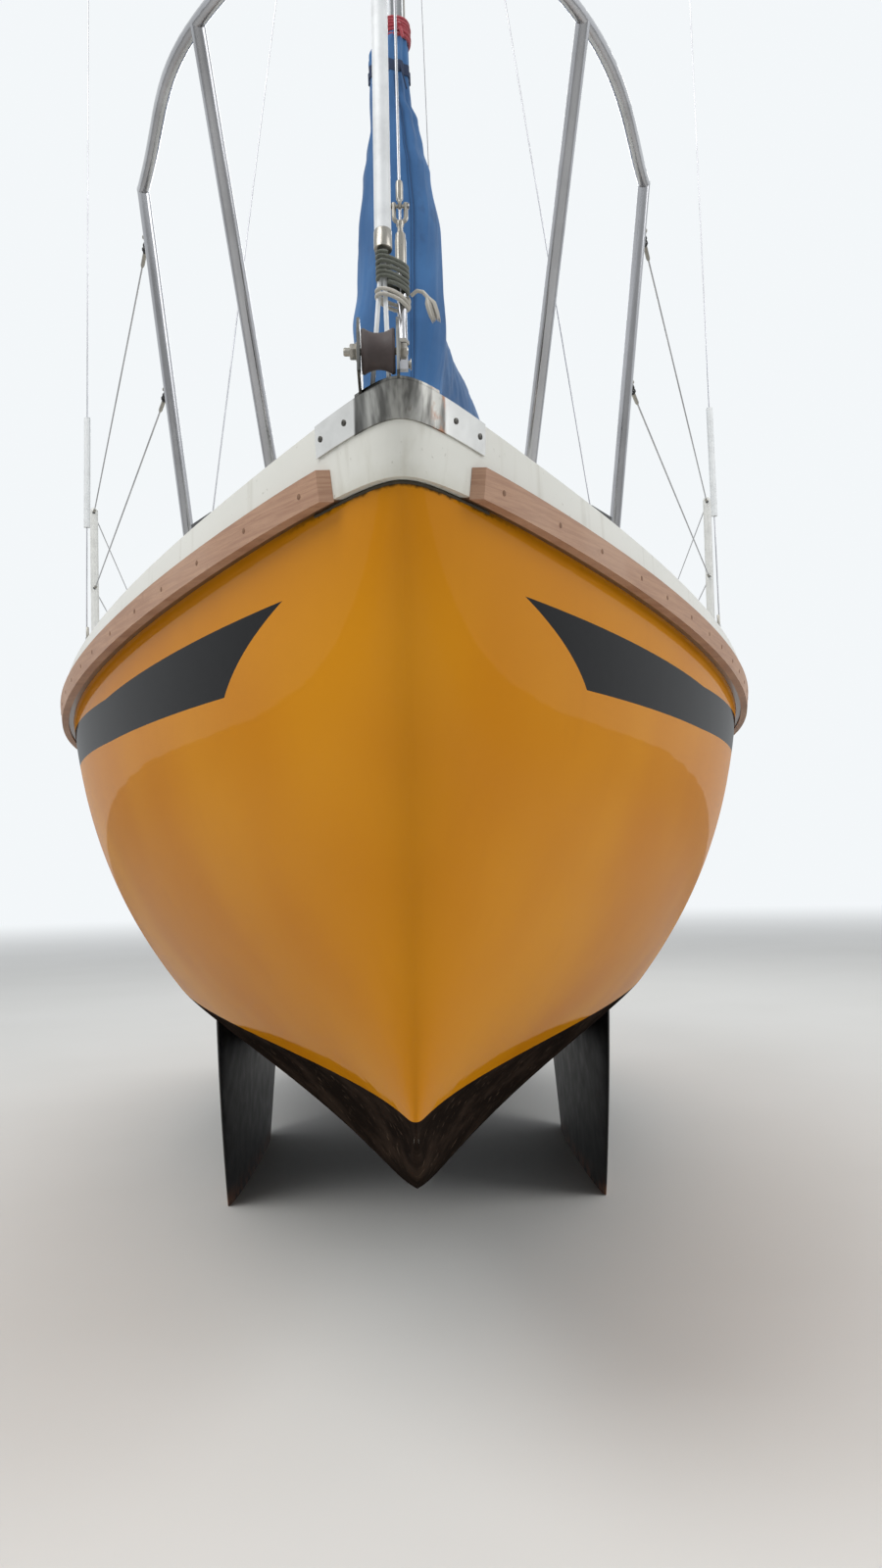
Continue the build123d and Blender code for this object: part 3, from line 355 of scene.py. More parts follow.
def deck_material():
    n = Net("deck_gelcoat", rough=0.32, Coat_Weight=0.1)
    base = n.mix(n.noise(2, 3), (218, 217, 209), (204, 203, 194))
    streak = n.noise(26, 4, n.scaled(1, 1, 0.1))
    base = n.over(base, n.step(streak, 0.55, 0.78), 0.4, (168, 163, 146))
    speck = n.step(n.noise(85, 5), 0.66, 0.76)
    base = n.over(base, speck, 0.45, (132, 126, 108))
    # dirt that gathers along the foot of the flange, worst at the nose
    height = n.line(n.noise(42, 5, None, 0.65), 0.03, n.sheer(SHEER, FLANGE_DROP + 0.018))
    front = n.step(n.xyz[0], 2.8, 3.35)
    moss = n.times(n.step(height, 0.01, 0.001), front)
    haze = n.times(n.step(height, 0.07, 0), n.line(front, 0.35, 0.15))
    base = n.mix(haze, base, (158, 152, 130))
    base = n.mix(moss, base, (54, 50, 34))
    n.rough(moss, 0.3, 0.9)
    normal = n.normal()
    # painted shade on the downward-facing underside of the flange below the strake, together with the
    # strake's sealant bedding
    under = n.times(n.step(normal[2], -0.5, -0.8), n.step(n.xyz[0], 3.262, 3.255))
    rim_shade_and_bedding = n.times(under, n.step(n.sheer(SHEER, FLANGE_DROP), 0.006, 0.003))
    base = n.mix(rim_shade_and_bedding, base, (92, 66, 46))
    # grip of the level parts
    flat = n.step(normal[2], 0.93, 0.97)
    dots = n.times(n.step(n.cells(190), 0.32, 0.12), flat)
    base = n.over(base, flat, 0.22, (198, 202, 200))
    n.bump(dots, 0.5, 0.0012)
    n.colour(base)
    n.bump(n.noise(6, 2), 0.1, 0.01)
    return n.mat


def teak_look(name, grain=(0.6, 0.6, 14), pale=0):
    n = Net(name, rough=0.55)
    lines = n.noise(12, 6, n.scaled(*grain), 0.6, 0.6)
    fine = n.noise(95, 3, n.scaled(*grain), 0.7)
    wood = n.mix(n.step(lines, 0.32, 0.66), (150, 112, 88), (170, 134, 108))
    wood = n.over(wood, n.step(fine, 0.5, 0.75), 0.45, (122, 88, 68))
    patch = n.noise(2.2, 3)
    wood = n.mix(n.line(n.step(patch, 0.45, 0.7), 0.35, pale), wood, (186, 156, 134))
    dark = n.step(n.noise(22, 4), 0.66, 0.78)
    wood = n.over(wood, dark, 0.3, (120, 86, 66))
    n.colour(wood)
    n.rough(lines, 0.45, 0.75)
    n.bump(fine, 0.35, 0.0009)
    return n.mat


def darker(tone, share):
    return tuple([c * share for c in tone[:3]] + [1])


def metal_look(name, tone, rough, stretch=(1, 1, 1), stain=0, metal=1):
    n = Net(name, rough=rough, metal=metal)
    tone = linear(*tone)
    brushed = n.noise(160, 3, n.scaled(*stretch), 0.7)
    base = n.mix(n.step(n.noise(7, 3), 0.35, 0.7), tone, darker(tone, 0.8))
    if stain:
        spots = n.step(n.noise(34, 5, None, 0.7), 0.58, 0.74)
        base = n.mix(n.times(spots, stain), base, (118, 104, 90))
    n.colour(base)
    n.rough(brushed, rough * 0.7, min(1, rough * 1.5))
    n.bump(brushed, 0.05, 0.0004)
    return n.mat


def band_material():
    """Polished band: stained and dull over the nose, bright at the sides."""
    n = Net("stainless_band", rough=0.2, metal=1)
    side = n.math("ABSOLUTE", n.xyz[1])
    cloud = n.noise(22, 4, n.scaled(1, 1, 0.16), 0.6)
    edge = n.line(cloud, 0.012, side)
    nose = n.step(edge, 0.084, 0.078)
    stain = n.mix(n.step(cloud, 0.4, 0.6), (96, 95, 92), (166, 165, 160))
    dirt = n.step(n.noise(46, 5, n.scaled(1, 1, 0.5), 0.7), 0.56, 0.74)
    stain = n.over(stain, dirt, 0.55, (86, 74, 60))
    # brown run below the port screw; the starboard end of the dull part is made darker grey
    port = n.times(n.step(n.xyz[1], 0.048, 0.058), n.step(n.noise(30, 4), 0.36, 0.56))
    stain = n.over(stain, port, 0.9, (150, 100, 70))
    dark = n.times(n.step(n.xyz[1], -0.05, -0.062), 0.6)
    stain = n.mix(dark, stain, (52, 52, 52))
    bright = n.mix(n.noise(30, 4), (222, 221, 218), (196, 195, 192))
    n.colour(n.mix(nose, bright, stain))
    n.rough(nose, 0.22, 0.27)
    n.bump(n.noise(9, 2), 0.1, 0.006)
    return n.mat


def plastic_look(name, tone, rough=0.45, shade=0.8, scale=40, grain=0.15, **extra):
    n = Net(name, rough=rough, **extra)
    tone = linear(*tone)
    worn = n.noise(scale, 4, None, 0.65)
    n.colour(n.mix(n.step(worn, 0.4, 0.72), tone, darker(tone, shade)))
    n.rough(worn, rough * 0.85, min(1, rough * 1.25))
    n.bump(n.noise(320, 2), grain, 0.0005)
    return n.mat


def keel_material():
    n = Net("keel_paint", rough=0.42)
    z = n.xyz[2]
    base = n.mix(n.noise(5, 4), (14, 14, 15), (26, 25, 25))
    chip = n.step(n.noise(30, 6, None, 0.7), 0.63, 0.7)
    base = n.over(base, chip, 0.7, (86, 66, 54))
    foot = n.times(n.step(z, 0.09, 0), n.step(n.noise(18, 5), 0.42, 0.6))
    base = n.mix(foot, base, (112, 74, 52))
    n.colour(base)
    n.rough(n.noise(12, 3), 0.3, 0.62)
    n.bump(n.noise(60, 5), 0.3, 0.0015)
    return n.mat


def rudder_material():
    n = Net("rudder_skin", rough=0.35)
    wet = n.step(n.line(n.noise(9, 3), 0.006, n.xyz[2]), 0.775, 0.781)
    foul = n.mix(n.noise(14, 5), (34, 30, 28), (62, 54, 48))
    white = n.mix(n.noise(5, 3), (226, 225, 218), (208, 206, 198))
    n.colour(n.mix(wet, foul, white))
    n.rough(wet, 0.62, 0.3)
    n.bump(n.noise(110, 3), 0.18, 0.0008)
    return n.mat


def canvas_material():
    n = Net("canvas_blue", rough=0.86, Sheen_Weight=0.12, Sheen_Roughness=0.5)
    normal = n.normal()
    base = n.mix(n.step(n.noise(3.2, 4), 0.35, 0.7), (40, 84, 130), (58, 106, 156))
    # painted light: upward-facing cloth made paler, as if lit from above
    base = n.over(base, n.step(normal[2], 0.1, 0.9), 0.35, (92, 130, 168))
    stains = n.step(n.noise(17, 5), 0.6, 0.74)
    base = n.over(base, stains, 0.3, (26, 52, 90))
    weave_a = n.wave(380, "Z", 0.4)
    weave_b = n.wave(380, "Y", 0.4)
    cross = n.times(weave_a, weave_b)
    base = n.over(base, cross, 0.14, (74, 114, 160))
    n.colour(base)
    n.bump(cross, 0.25, 0.0006)
    n.bump(n.noise(28, 4), 0.22, 0.004)
    return n.mat


def acrylic_material():
    n = Net("smoked_acrylic", rough=0.06, IOR=1.49, Transmission_Weight=0.55)
    n.colour(n.mix(n.noise(3), (34, 34, 38), (52, 50, 52)))
    n.rough(n.noise(45, 4), 0.03, 0.12)
    return n.mat


def rope_look(name, tone, other):
    n = Net(name, rough=0.85, Sheen_Weight=0.3)
    lay = n.wave(420, "DIAGONAL", 1.2)
    n.colour(n.mix(lay, tone, other))
    n.bump(lay, 0.6, 0.0012)
    return n.mat


def floor_material():
    """Pale floor that fades into the background far from the boat."""
    n = Net("floor", rough=0.75)
    n.colour(n.mix(n.noise(0.8, 4), (216, 215, 211), (208, 207, 202)))
    far = n.math("ADD", n.times(n.xyz[0], n.xyz[0]), n.times(n.xyz[1], n.xyz[1]))
    fade = n.times(n.step(far, 60, 620), n.add("LightPath").outputs["Is Camera Ray"])
    glow = n.add("Emission", Color=SKY_SEEN)
    blend = n.add("MixShader")
    for socket, value in zip(blend.inputs, (fade, n.bsdf.outputs[0], glow.outputs[0])):
        n.put(socket, value)
    n.put(n.tree.nodes["Material Output"].inputs["Surface"], blend.outputs[0])
    return n.mat


STEEL = (178, 178, 181)
MATERIALS = {
    "gelcoat_yellow": hull_material(),
    "gelcoat_white": deck_material(),
    "inner_white": plastic_look("inner_flowcoat", (224, 220, 210), 0.5, 0.93, 9),
    "teak": teak_look("teak_weathered"),
    "stainless": metal_look("stainless_polished", STEEL, 0.16, (1, 1, 6), 0.06),
    "white_metal": plastic_look("white_paint", (208, 208, 204), 0.35, 0.86, 30),
    "spar_alloy": metal_look("alloy_anodised", (138, 140, 142), 0.36, (8, 8, 0.2), 0.08, 0.9),
    "black_plastic": plastic_look("nylon_black", (30, 30, 32), 0.5, 1.6),
    "white_plastic": plastic_look("pvc_white", (214, 216, 216), 0.35, 0.88, 22),
    "rudder_plastic": rudder_material(),
    "keel_iron": keel_material(),
    "rubber": plastic_look("rubber_worn", (58, 48, 46), 0.6, 1.3, 60, 0.3),
    "canvas": canvas_material(),
    "acrylic": acrylic_material(),
}
DOOR_TEAK = teak_look("teak_upright", (9, 9, 0.6), 0.05)
SLAT_TEAK = teak_look("teak_slats", (0.6, 9, 9))
BAND_METAL = band_material()
CANVAS_SEAM = plastic_look("canvas_seam", (38, 70, 110), 0.85, 0.7, 220, 0.5)
PLUG = plastic_look("plug_dark", (124, 90, 66), 0.7, 0.7, 200)
HALYARD = rope_look("rope_white", (212, 210, 202), (168, 166, 158))
BRASS = metal_look("brass", (176, 142, 84), 0.3, (1, 1, 1), 0.3)
BRIGHT = metal_look("stainless_fitting", (158, 154, 146), 0.28, (1, 1, 1), 0.55)
DARK_SCREW = metal_look("screw_dark", (84, 82, 78), 0.42, (1, 1, 1), 0.4)
WORN_BLACK = plastic_look("bakelite", (34, 34, 35), 0.55, 1.5)
GREEN_ROPE = rope_look("rope_olive", (58, 62, 52), (100, 104, 90))
FRAYED = rope_look("rope_frayed", (214, 209, 198), (176, 171, 160))
RED_TIE = rope_look("tie_red", (176, 44, 58), (134, 26, 40))
WEB = plastic_look("webbing_dark", (30, 42, 66), 0.8, 1.5, 120)
SEALANT = plastic_look("sealant", (52, 46, 34), 0.9, 1.6, 90, 0.6)
GASKET = plastic_look("window_rubber", (24, 24, 25), 0.55, 1.5, 70)

for node_name, node in NODES.items():
    for slot_item in node.material_slots:
        key = slot_item.material.name.split(".")[0]
        slot_item.material = MATERIALS[key]
        if node_name.startswith("door_"):
            slot_item.material = DOOR_TEAK
        elif node_name in ("bow_band", "bow_fitting"):
            slot_item.material = BAND_METAL


# --- mesh helpers ---
def angles(count):
    """Evenly spaced turns round a circle."""
    return [tau * k / count for k in range(count)]


def disc(centre, u, v, wide, high, count):
    """Points of an ellipse round a centre."""
    return [centre + u * cos(t) * wide + v * sin(t) * high for t in angles(count)]


def steps_from(start, *offsets):
    """Points at offsets from a start."""
    return [start + Vector(step) for step in offsets]


def spread(low, high, count):
    """Evenly spaced values from low to high, both included."""
    return [low + (high - low) * i / (count - 1) for i in range(count)]


class Shape:
    """Gathers round bars, turned forms and blocks into one mesh."""

    def __init__(self):
        self.bm = bmesh.new()

    def loop(self, points):
        return [self.bm.verts.new(p) for p in points]

    def bridge(self, a, b, closed=True):
        n = len(a)
        for i in range(n if closed else n - 1):
            j = (i + 1) % n
            self.bm.faces.new((a[i], a[j], b[j], b[i]))

    def skin(self, loops, closed=False):
        """Faces between the loops, which end in a cap each or, if closed, in each other."""
        for a, b in zip(loops, loops[1:]):
            self.bridge(a, b)
        if closed:
            self.bridge(loops[-1], loops[0])
        else:
            self.bm.faces.new(loops[0][::-1])
            self.bm.faces.new(loops[-1])

    def bar(self, points, radius, sides=12, closed=False, squash=1, up=None):
        """A round bar along points; radius is one number or one for each point."""
        points = [Vector(p) for p in points]
        count = len(points)
        radii = radius if isinstance(radius, (list, tuple)) else [radius] * count
        loops = []
        side = None
        for i, p in enumerate(points):
            before = points[i - 1] if i or closed else points[0]
            after = points[(i + 1) % count] if i < count - 1 or closed else points[-1]
            heading = (after - before).normalized()
            if side is None:
                hint = Vector(up) if up else (Z if abs(heading.z) < 0.9 else Y)
                side = heading.cross(hint).normalized()
            side = (side - heading * side.dot(heading)).normalized()
            loops.append(self.loop(disc(p, side, heading.cross(side), radii[i], radii[i] * squash, sides)))
        self.skin(loops, closed)

    def turned(self, profile, origin, axis, sides=24):
        """A turned form: profile rows are (radius, height along axis) in millimetres."""
        axis = Vector(axis).normalized()
        u = axis.cross(Z if abs(axis.z) < 0.9 else X).normalized()
        v = axis.cross(u)
        loops = []
        for r, h in profile:
            loops.append(self.loop(disc(Vector(origin) + axis * (h * MM), u, v, r * MM, r * MM, sides)))
        self.skin(loops)

    def pin(self, half, centre, axis, sides):
        """A turned form alike on both sides of its centre; half runs from one end inward."""
        self.turned([(r, -h) for r, h in half] + half[::-1], centre, axis, sides)

    def slab(self, outline, origin, u, v, thick, chamfer=0):
        """A plate: outline rows are (along u, along v), thick along u x v from origin."""
        u, v = Vector(u).normalized(), Vector(v).normalized()
        w = u.cross(v).normalized()
        cu = sum(p[0] for p in outline) / len(outline)
        cv = sum(p[1] for p in outline) / len(outline)
        levels = [(0, 0), (thick, 0)]
        if chamfer:
            levels = [(0, chamfer), (chamfer, 0), (thick - chamfer, 0), (thick, chamfer)]
        loops = []
        for height, inset in levels:
            ring = []
            for a, b in outline:
                d = hypot(a - cu, b - cv) or 1
                k = 1 - inset / d
                ring.append(Vector(origin) + u * (cu + (a - cu) * k) + v * (cv + (b - cv) * k) + w * height)
            loops.append(self.loop(ring))
        self.skin(loops)

    def head(self, place, normal, r=4.5, kind="pan"):
        """A screw head on a surface, its radius in millimetres."""
        normal = Vector(normal).normalized()
        if kind == "hex":
            self.turned([(r, 0), (r, r * 0.9), (r * 0.85, r)], Vector(place), normal, 6)
            return
        self.turned([(r, -0.4), (r * 0.96, r * 0.25), (r * 0.6, r * 0.42), (r * 0.2, r * 0.42),
                     (r * 0.18, r * 0.2)], Vector(place), normal, 14)

    def build(self, name, material, slot, body="boat", sharp=35):
        bmesh.ops.recalc_face_normals(self.bm, faces=self.bm.faces)
        mesh = bpy.data.meshes.new(name)
        self.bm.to_mesh(mesh)
        self.bm.free()
        for face in mesh.polygons:
            face.use_smooth = True
        mesh.set_sharp_from_angle(angle=radians(sharp))
        piece = bpy.data.objects.new(name, mesh)
        scene.collection.objects.link(piece)
        mesh.materials.append(material)
        if body:
            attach(piece, body)
        return piece


TREES = {}


def hit(node_name, start, heading):
    """Where a ray first meets a frame node: point and normal."""
    if node_name not in TREES:
        TREES[node_name] = BVHTree.FromObject(NODES[node_name], GRAPH)
    point, normal, _face, _far = TREES[node_name].ray_cast(Vector(start), Vector(heading).normalized())
    return point, normal


def rounded(w, h, r, steps=5):
    """Outline of a rounded rectangle round the origin."""
    points = []
    for cx, cy, start in ((w / 2 - r, h / 2 - r, 0), (r - w / 2, h / 2 - r, 90), (r - w / 2, r - h / 2, 180),
                          (w / 2 - r, r - h / 2, 270)):
        for k in range(steps + 1):
            t = radians(start + 90 * k / steps)
            points.append((cx + r * cos(t), cy + r * sin(t)))
    return points


def smooth_row(table, at):
    """A row of a table of heights, smooth between the rows."""
    if at <= table[0][0]:
        return table[0][1:]
    for a, b in zip(table, table[1:]):
        if at <= b[0]:
            t = (at - a[0]) / (b[0] - a[0])
            t = t * t * (3 - 2 * t)
            return tuple(p + (q - p) * t for p, q in zip(a[1:], b[1:]))
    return table[-1][1:]


# --- small parts: places on the boat ---
SIDES = ((1, "port"), (-1, "starboard"))
CHEEK_PORT, CHEEK_STARBOARD = 0.002, -0.066       # outer faces of the roller's cheeks, y
ROLLER = vec(3.4, -0.032, 2.0935)
PULPIT_AFT = (vec(2.535, 0.463, 0), vec(2.76, 0.525, 2.685))
PULPIT_FORE = (2.925, 0.237)
STANCHION_X = (1.29, -0.62)
WIRE_EYES = ((2.608, 0.585), (2.309, 0.345))      # z on the pulpit, height on the stanchions
SHROUD_X, LOWER_FOOT_X, LOWER_FOOT_Y = 0.89, 0.94, 0.735
SPREADER_TIP = (0.955, 1.013, 6.841)
MASTHEAD_Z, HOUNDS_Z, LOWER_TANG_Z = 10.6, 10.42, 6.74
HALYARD_RUNS, CLEAT_Z = ((4.12, MASTHEAD_Z - 0.03), (2.56, 2.86)), 2.5
CORD_RADIUS = 0.0034
SCREW_BASE = 0.048                                # foot of a shroud's bottle screw above the deck
BOOM_HALF = (0.028, 0.04)                         # half wide, half high
BACK_BOLT_Z = (1.8, 1.835, 1.87)
FORE_HATCH = (2.16, 0, 1.9638)
SLIDE_TOP, LOCKER_TOP = 2.2902, 1.5222
DOOR_FACE, DOOR_Y, DOOR_Z, DOOR_STILE = -1.3447, (0.006, 0.298), (1.58, 2.25), 0.045
WINCH = (-1.6, 0.6825, 1.89)
PINTLE, RAKE = vec(-3.33, 0, 0.9), atan(75 / 490)         # foot of the rudder's hinge line and its lean
BACK_FOOT, BACK_HEAD = vec(-3.452, 0.3, 1.894), vec(0.95, 0, 10.594)


def deck_z(x):
    return line_z(RAIL, x) - DECK_DROP


def from_side(node_name, x, z, side):
    """Outer surface of a node at one station and height: point and normal."""
    return hit(node_name, (x, side * 2.5, z), (0, -side, 0))


def screws(name, places, r=4.5, kind="pan", body="boat", material=BRIGHT):
    shape = Shape()
    for place, normal in places:
        if place is not None:
            shape.head(place, normal, r, kind)
    shape.build(name, material, "stainless", body)


# --- bow: band, joint, roller, strakes ---
def bow_screws():
    places = []
    for side, _name in SIDES:
        for x in (3.252, 3.312):
            places.append(from_side("bow_band", x, line_z(RAIL, x) - 0.028, side))
    screws("band_screws", places, 5.6, material=DARK_SCREW)


def moss_joint():
    """Dark growth and old sealant where the hull meets the flange round the bow."""
    shape = Shape()
    points, radii = [], []
    for degrees in spread(-76, 76, 171):
        turn = radians(degrees)
        out = vec(cos(turn), sin(turn), 0)
        x = 3.3
        for _ in range(3):
            start = vec(3.15, 0, line_z(SHEER, x) - 0.0535) + out
            place, _normal = hit("hull", start, -out)
            x = place.x
        wander = noise.noise(place * 17) + 0.45 * noise.noise(place * 61)
        points.append(place + out * 0.0004 + vec(0, 0, 0.0012 * wander))
        radii.append(0.0028 + 0.0006 * wander)
    shape.bar(points, radii, 8)
    shape.build("moss_joint", SEALANT, "rubber")


def roller_tyre():
    """Rubber bobbin, hollow-cheeked, bored for its axle."""
    shape = Shape()
    half = 0.027
    profile = [(0.0066, -half), (0.034, -half), (0.0356, -half + 0.0014)]
    for y in spread(-0.0225, 0.0225, 17):
        profile.append((0.0286 + 0.0074 * abs(y / 0.0225) ** 2.2, y))
    profile += [(0.0356, half - 0.0014), (0.034, half), (0.0066, half)]
    loops = []
    for r, y in profile:
        loops.append(shape.loop(disc(ROLLER + vec(0, y, 0), X, Z, r, r, 48)))
    shape.skin(loops, closed=True)
    tyre = shape.build("roller_tyre", MATERIALS["rubber"], "rubber", "bow_roller")
    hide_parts("bow_roller")


def axle_nuts():
    shape = Shape()
    for face, out, tip in ((CHEEK_STARBOARD, -1, 22), (CHEEK_PORT, 1, 14)):
        centre = vec(ROLLER.x, face, ROLLER.z)
        axis = (0, out, 0)
        shape.turned([(15, 0.2), (15, 2), (6, 2)], centre, axis, 28)
        shape.turned([(12.2, 2), (12.8, 3), (12.8, 10.5), (11.2, 12)], centre, axis, 6)
        shape.turned([(7, 11.5), (7, tip - 2), (5.5, tip)], centre, axis, 20)
    shape.build("axle_nuts", BRIGHT, "stainless")


def strake_plugs():
    for side, name in SIDES:
        shape = Shape()
        x = 3.215
        while x > -3.3:
            place, normal = from_side("strake_" + name, x, line_z(SHEER, x) - 0.028, side)
            if place is not None:
                shape.turned([(5.4, -1), (5.4, 0.4), (4.4, 0.9)], place, normal, 16)
            x -= 0.15 + 0.06 * random.random()
        shape.build("strake_plugs_" + name, PLUG, "teak")


# --- forestay, luff spar and their lashing ---
def fork(shape, base, axis, across, wide, high, r):
    """A U of round bar with a pin across its open end."""
    base, axis, across = Vector(base), Vector(axis).normalized(), Vector(across).normalized()
    half = wide / 2
    row = [base + across * (-cos(t) * half) + axis * (half * (1 - sin(t))) for t in spread(0, pi, 9)]
    legs = axis * (high - half)
    shape.bar([row[0] + legs] + row + [row[-1] + legs], r, 10)
    eye = base + axis * (high - 0.006)
    shape.pin([(5, half / MM + 6), (6.2, half / MM + 4.5), (3.4, half / MM + 4)], eye, across, 14)
    return eye


def ring(shape, centre, u, v, radius, r, sides=8, steps=20):
    u, v = Vector(u).normalized(), Vector(v).normalized()
    shape.bar(disc(Vector(centre), u, v, radius, radius, steps), r, sides, closed=True)


def stay_fittings():
    shape = Shape()
    axis = (STAY_HEAD - STAY_FOOT).normalized()
    # pin of the toggle on the cheek
    shape.turned([(5.8, -0.4), (6.8, 1), (6.8, 2.8), (5, 4)], STAY_FOOT + vec(0, 0.008, -0.004), Y, 16)
    ring(shape, STAY_FOOT + vec(0, 0.0125, -0.004), X, Z, 0.0085, 0.0011)
    # lock nuts and upper barrel of the bottle screw
    for d in (0.034, 0.186):
        shape.turned([(10, 0), (10.8, 1.2), (10.8, 6.8), (10, 8)], STAY_FOOT + axis * d, axis, 6)
    shape.turned([(7, 192), (9.4, 195), (9.8, 215), (9.8, 246), (8.6, 252), (8.6, 258), (5.2, 262),
                  (4.8, 274), (6.6, 277), (6.6, 284), (4, 286)], STAY_FOOT, axis, 24)
    # jaw, eye and swaged sleeve of the wire
    eye = fork(shape, STAY_FOOT + axis * 0.284, axis, Y, 0.021, 0.04, 0.0042)
    ring(shape, eye + axis * 0.004, X, axis, 0.0088, 0.0032)
    shape.turned([(5, 12), (6.2, 16), (6.4, 46), (5.6, 52), (3.2, 53)], eye, axis, 20)
    # tang at the mast
    shape.slab([(-0.05, -0.012), (0.012, -0.012), (0.012, 0.012), (-0.05, 0.012)],
               STAY_HEAD + vec(0, -0.002, 0), X, Z, -0.004)
    shape.build("stay_fittings", BRIGHT, "stainless")


def spar_end():
    shape = Shape()
    axis = (SPAR_HEAD - SPAR_FOOT).normalized()
    shape.turned([(12, -3), (15.2, -1), (15.6, 2), (15.6, 34), (14.7, 36)], SPAR_FOOT, axis, 28)
    shape.turned([(14.7, -20), (15.6, -18), (15.6, 0), (10, 4)], SPAR_HEAD, axis, 24)
    shape.build("luff_spar_ferrules", BRIGHT, "stainless")


def lashing():
    """Turns of cord round the luff spar's legs and the bottle screw, with a frayed tail."""
    axis = (STAY_HEAD - STAY_FOOT).normalized()
    level = STAY_FOOT + axis * 0.158
    other = vec(SPAR_FOOT.x + 0.004, SPAR_FOOT.y, level.z)
    middle = (level + other) / 2
    major = vec(other.x - level.x, other.y - level.y, 0)
    half = major.length / 2
    major.normalize()
    minor = vec(-major.y, major.x, 0)

    def loop_point(turn, z, loose=0):
        reach = half + 0.0125 + loose
        lump = 0.0006 * sin(3 * turn + 40 * z)
        return middle + major * cos(turn) * (reach + lump) + minor * sin(turn) * (
            0.0155 + loose + lump) + vec(0, 0, z)

    shape = Shape()
    turns, per = 6, 36
    path = []
    for k in range(turns * per + 1):
        turn = tau * k / per
        rise = 0.052 * k / (turns * per) + 0.0012 * sin(turn * 1.3)
        path.append(loop_point(turn + 0.7, -0.02 + rise))
    shape.bar(path, 0.0036, 9)
    shape.build("lashing_turns", GREEN_ROPE, "black_plastic")
    # two looser turns under them and the tail to port
    shape = Shape()
    path = []
    for k in range(2 * per + 1):
        turn = tau * k / per
        path.append(loop_point(turn + 2.2, -0.03 - 0.009 * k / per - 0.003 * sin(turn), 0.002))
    shape.bar(path, CORD_RADIUS, 9)
    start = path[0] + vec(0.004, 0.006, 0.002)
    tail = steps_from(start, (0, 0, 0), (0.006, 0.01, 0.006), (0.01, 0.02, 0.002), (0.011, 0.028, -0.008))
    shape.bar(tail, CORD_RADIUS, 9)
    shape.build("lashing_loose", FRAYED, "black_plastic")
    shape = Shape()
    knot = tail[-1]
    for k in range(16):
        stray = vec(random.uniform(-1, 1), random.uniform(-1, 1), random.uniform(-0.3, 0.3))
        end = knot + vec(0.004, 0.014, -0.042) + stray * 0.008
        bulge = knot + vec(0.002, 0.006, -0.014) + stray * 0.009
        shape.bar([knot + stray * 0.002, bulge, (bulge + end) / 2 + stray * 0.001, end],
                  [0.002, 0.0026, 0.002, 0.0007], 5)
    shape.build("lashing_fray", FRAYED, "black_plastic")


# --- standing rigging: screws, pins and tangs ---
def screw_trim(shape, foot, head):
    axis = (Vector(head) - Vector(foot)).normalized()
    foot = Vector(foot)
    for d in (0.033, 0.187):
        shape.turned([(9, 0), (9.8, 1), (9.8, 6), (9, 7)], foot + axis * d, axis, 6)
    shape.turned([(5.2, 226), (5.2, 262), (3, 266)], foot, axis, 14)
    shape.pin([(4.8, 14), (6, 12.5), (6, 10.5), (3.4, 10)], foot, Y, 12)
    ring(shape, foot + axis * 0.112, Y, axis, 0.0105, 0.001, 6, 16)


def spreader_tip(side):
    return vec(SPREADER_TIP[0], side * SPREADER_TIP[1], SPREADER_TIP[2])


def shroud_foot_y(node_name):
    """Half the width at which a shroud stands on deck."""
    node = NODES[node_name]
    return abs(min((node.matrix_world @ v.co for v in node.data.vertices), key=lambda p: p.z).y)


def rigging_trim():
    shape = Shape()
    cap_y = shroud_foot_y("cap_shroud_port")
    for side, _name in SIDES:
        foot = vec(SHROUD_X, side * cap_y, deck_z(SHROUD_X) + SCREW_BASE)
        screw_trim(shape, foot, spreader_tip(side))
        low = vec(LOWER_FOOT_X, side * LOWER_FOOT_Y, deck_z(LOWER_FOOT_X) + SCREW_BASE)
        screw_trim(shape, low, (MAST[0], side * 0.041, LOWER_TANG_Z))
        # tangs on the mast
        for z, long in ((HOUNDS_Z, 0.11), (LOWER_TANG_Z, 0.1)):
            shape.slab(rounded(0.022, long, 0.008), (MAST[0], side * 0.0381, z + 0.02), X, Z, -side * 0.0022)
            shape.head((MAST[0], side * 0.0405, z + 0.045), (0, side, 0), 6.5, "hex")
    screw_trim(shape, BACK_FOOT, BACK_HEAD)
    for z in BACK_BOLT_Z:
        for side, _name in SIDES:
            shape.head((-3.405, BACK_FOOT.y + side * 0.0032, z), (0, side, 0), 6.2, "hex")
    shape.build("rigging_trim", BRIGHT, "stainless")


def spreader_boots():
    shape = Shape()
    for side, _name in SIDES:
        shape.turned([(6, -30), (16, -24), (21, -8), (21, 6), (15, 18), (5, 22)],
                     spreader_tip(side), (0, side, 0.04), 20)
    shape.build("spreader_boots", MATERIALS["white_plastic"], "white_plastic")


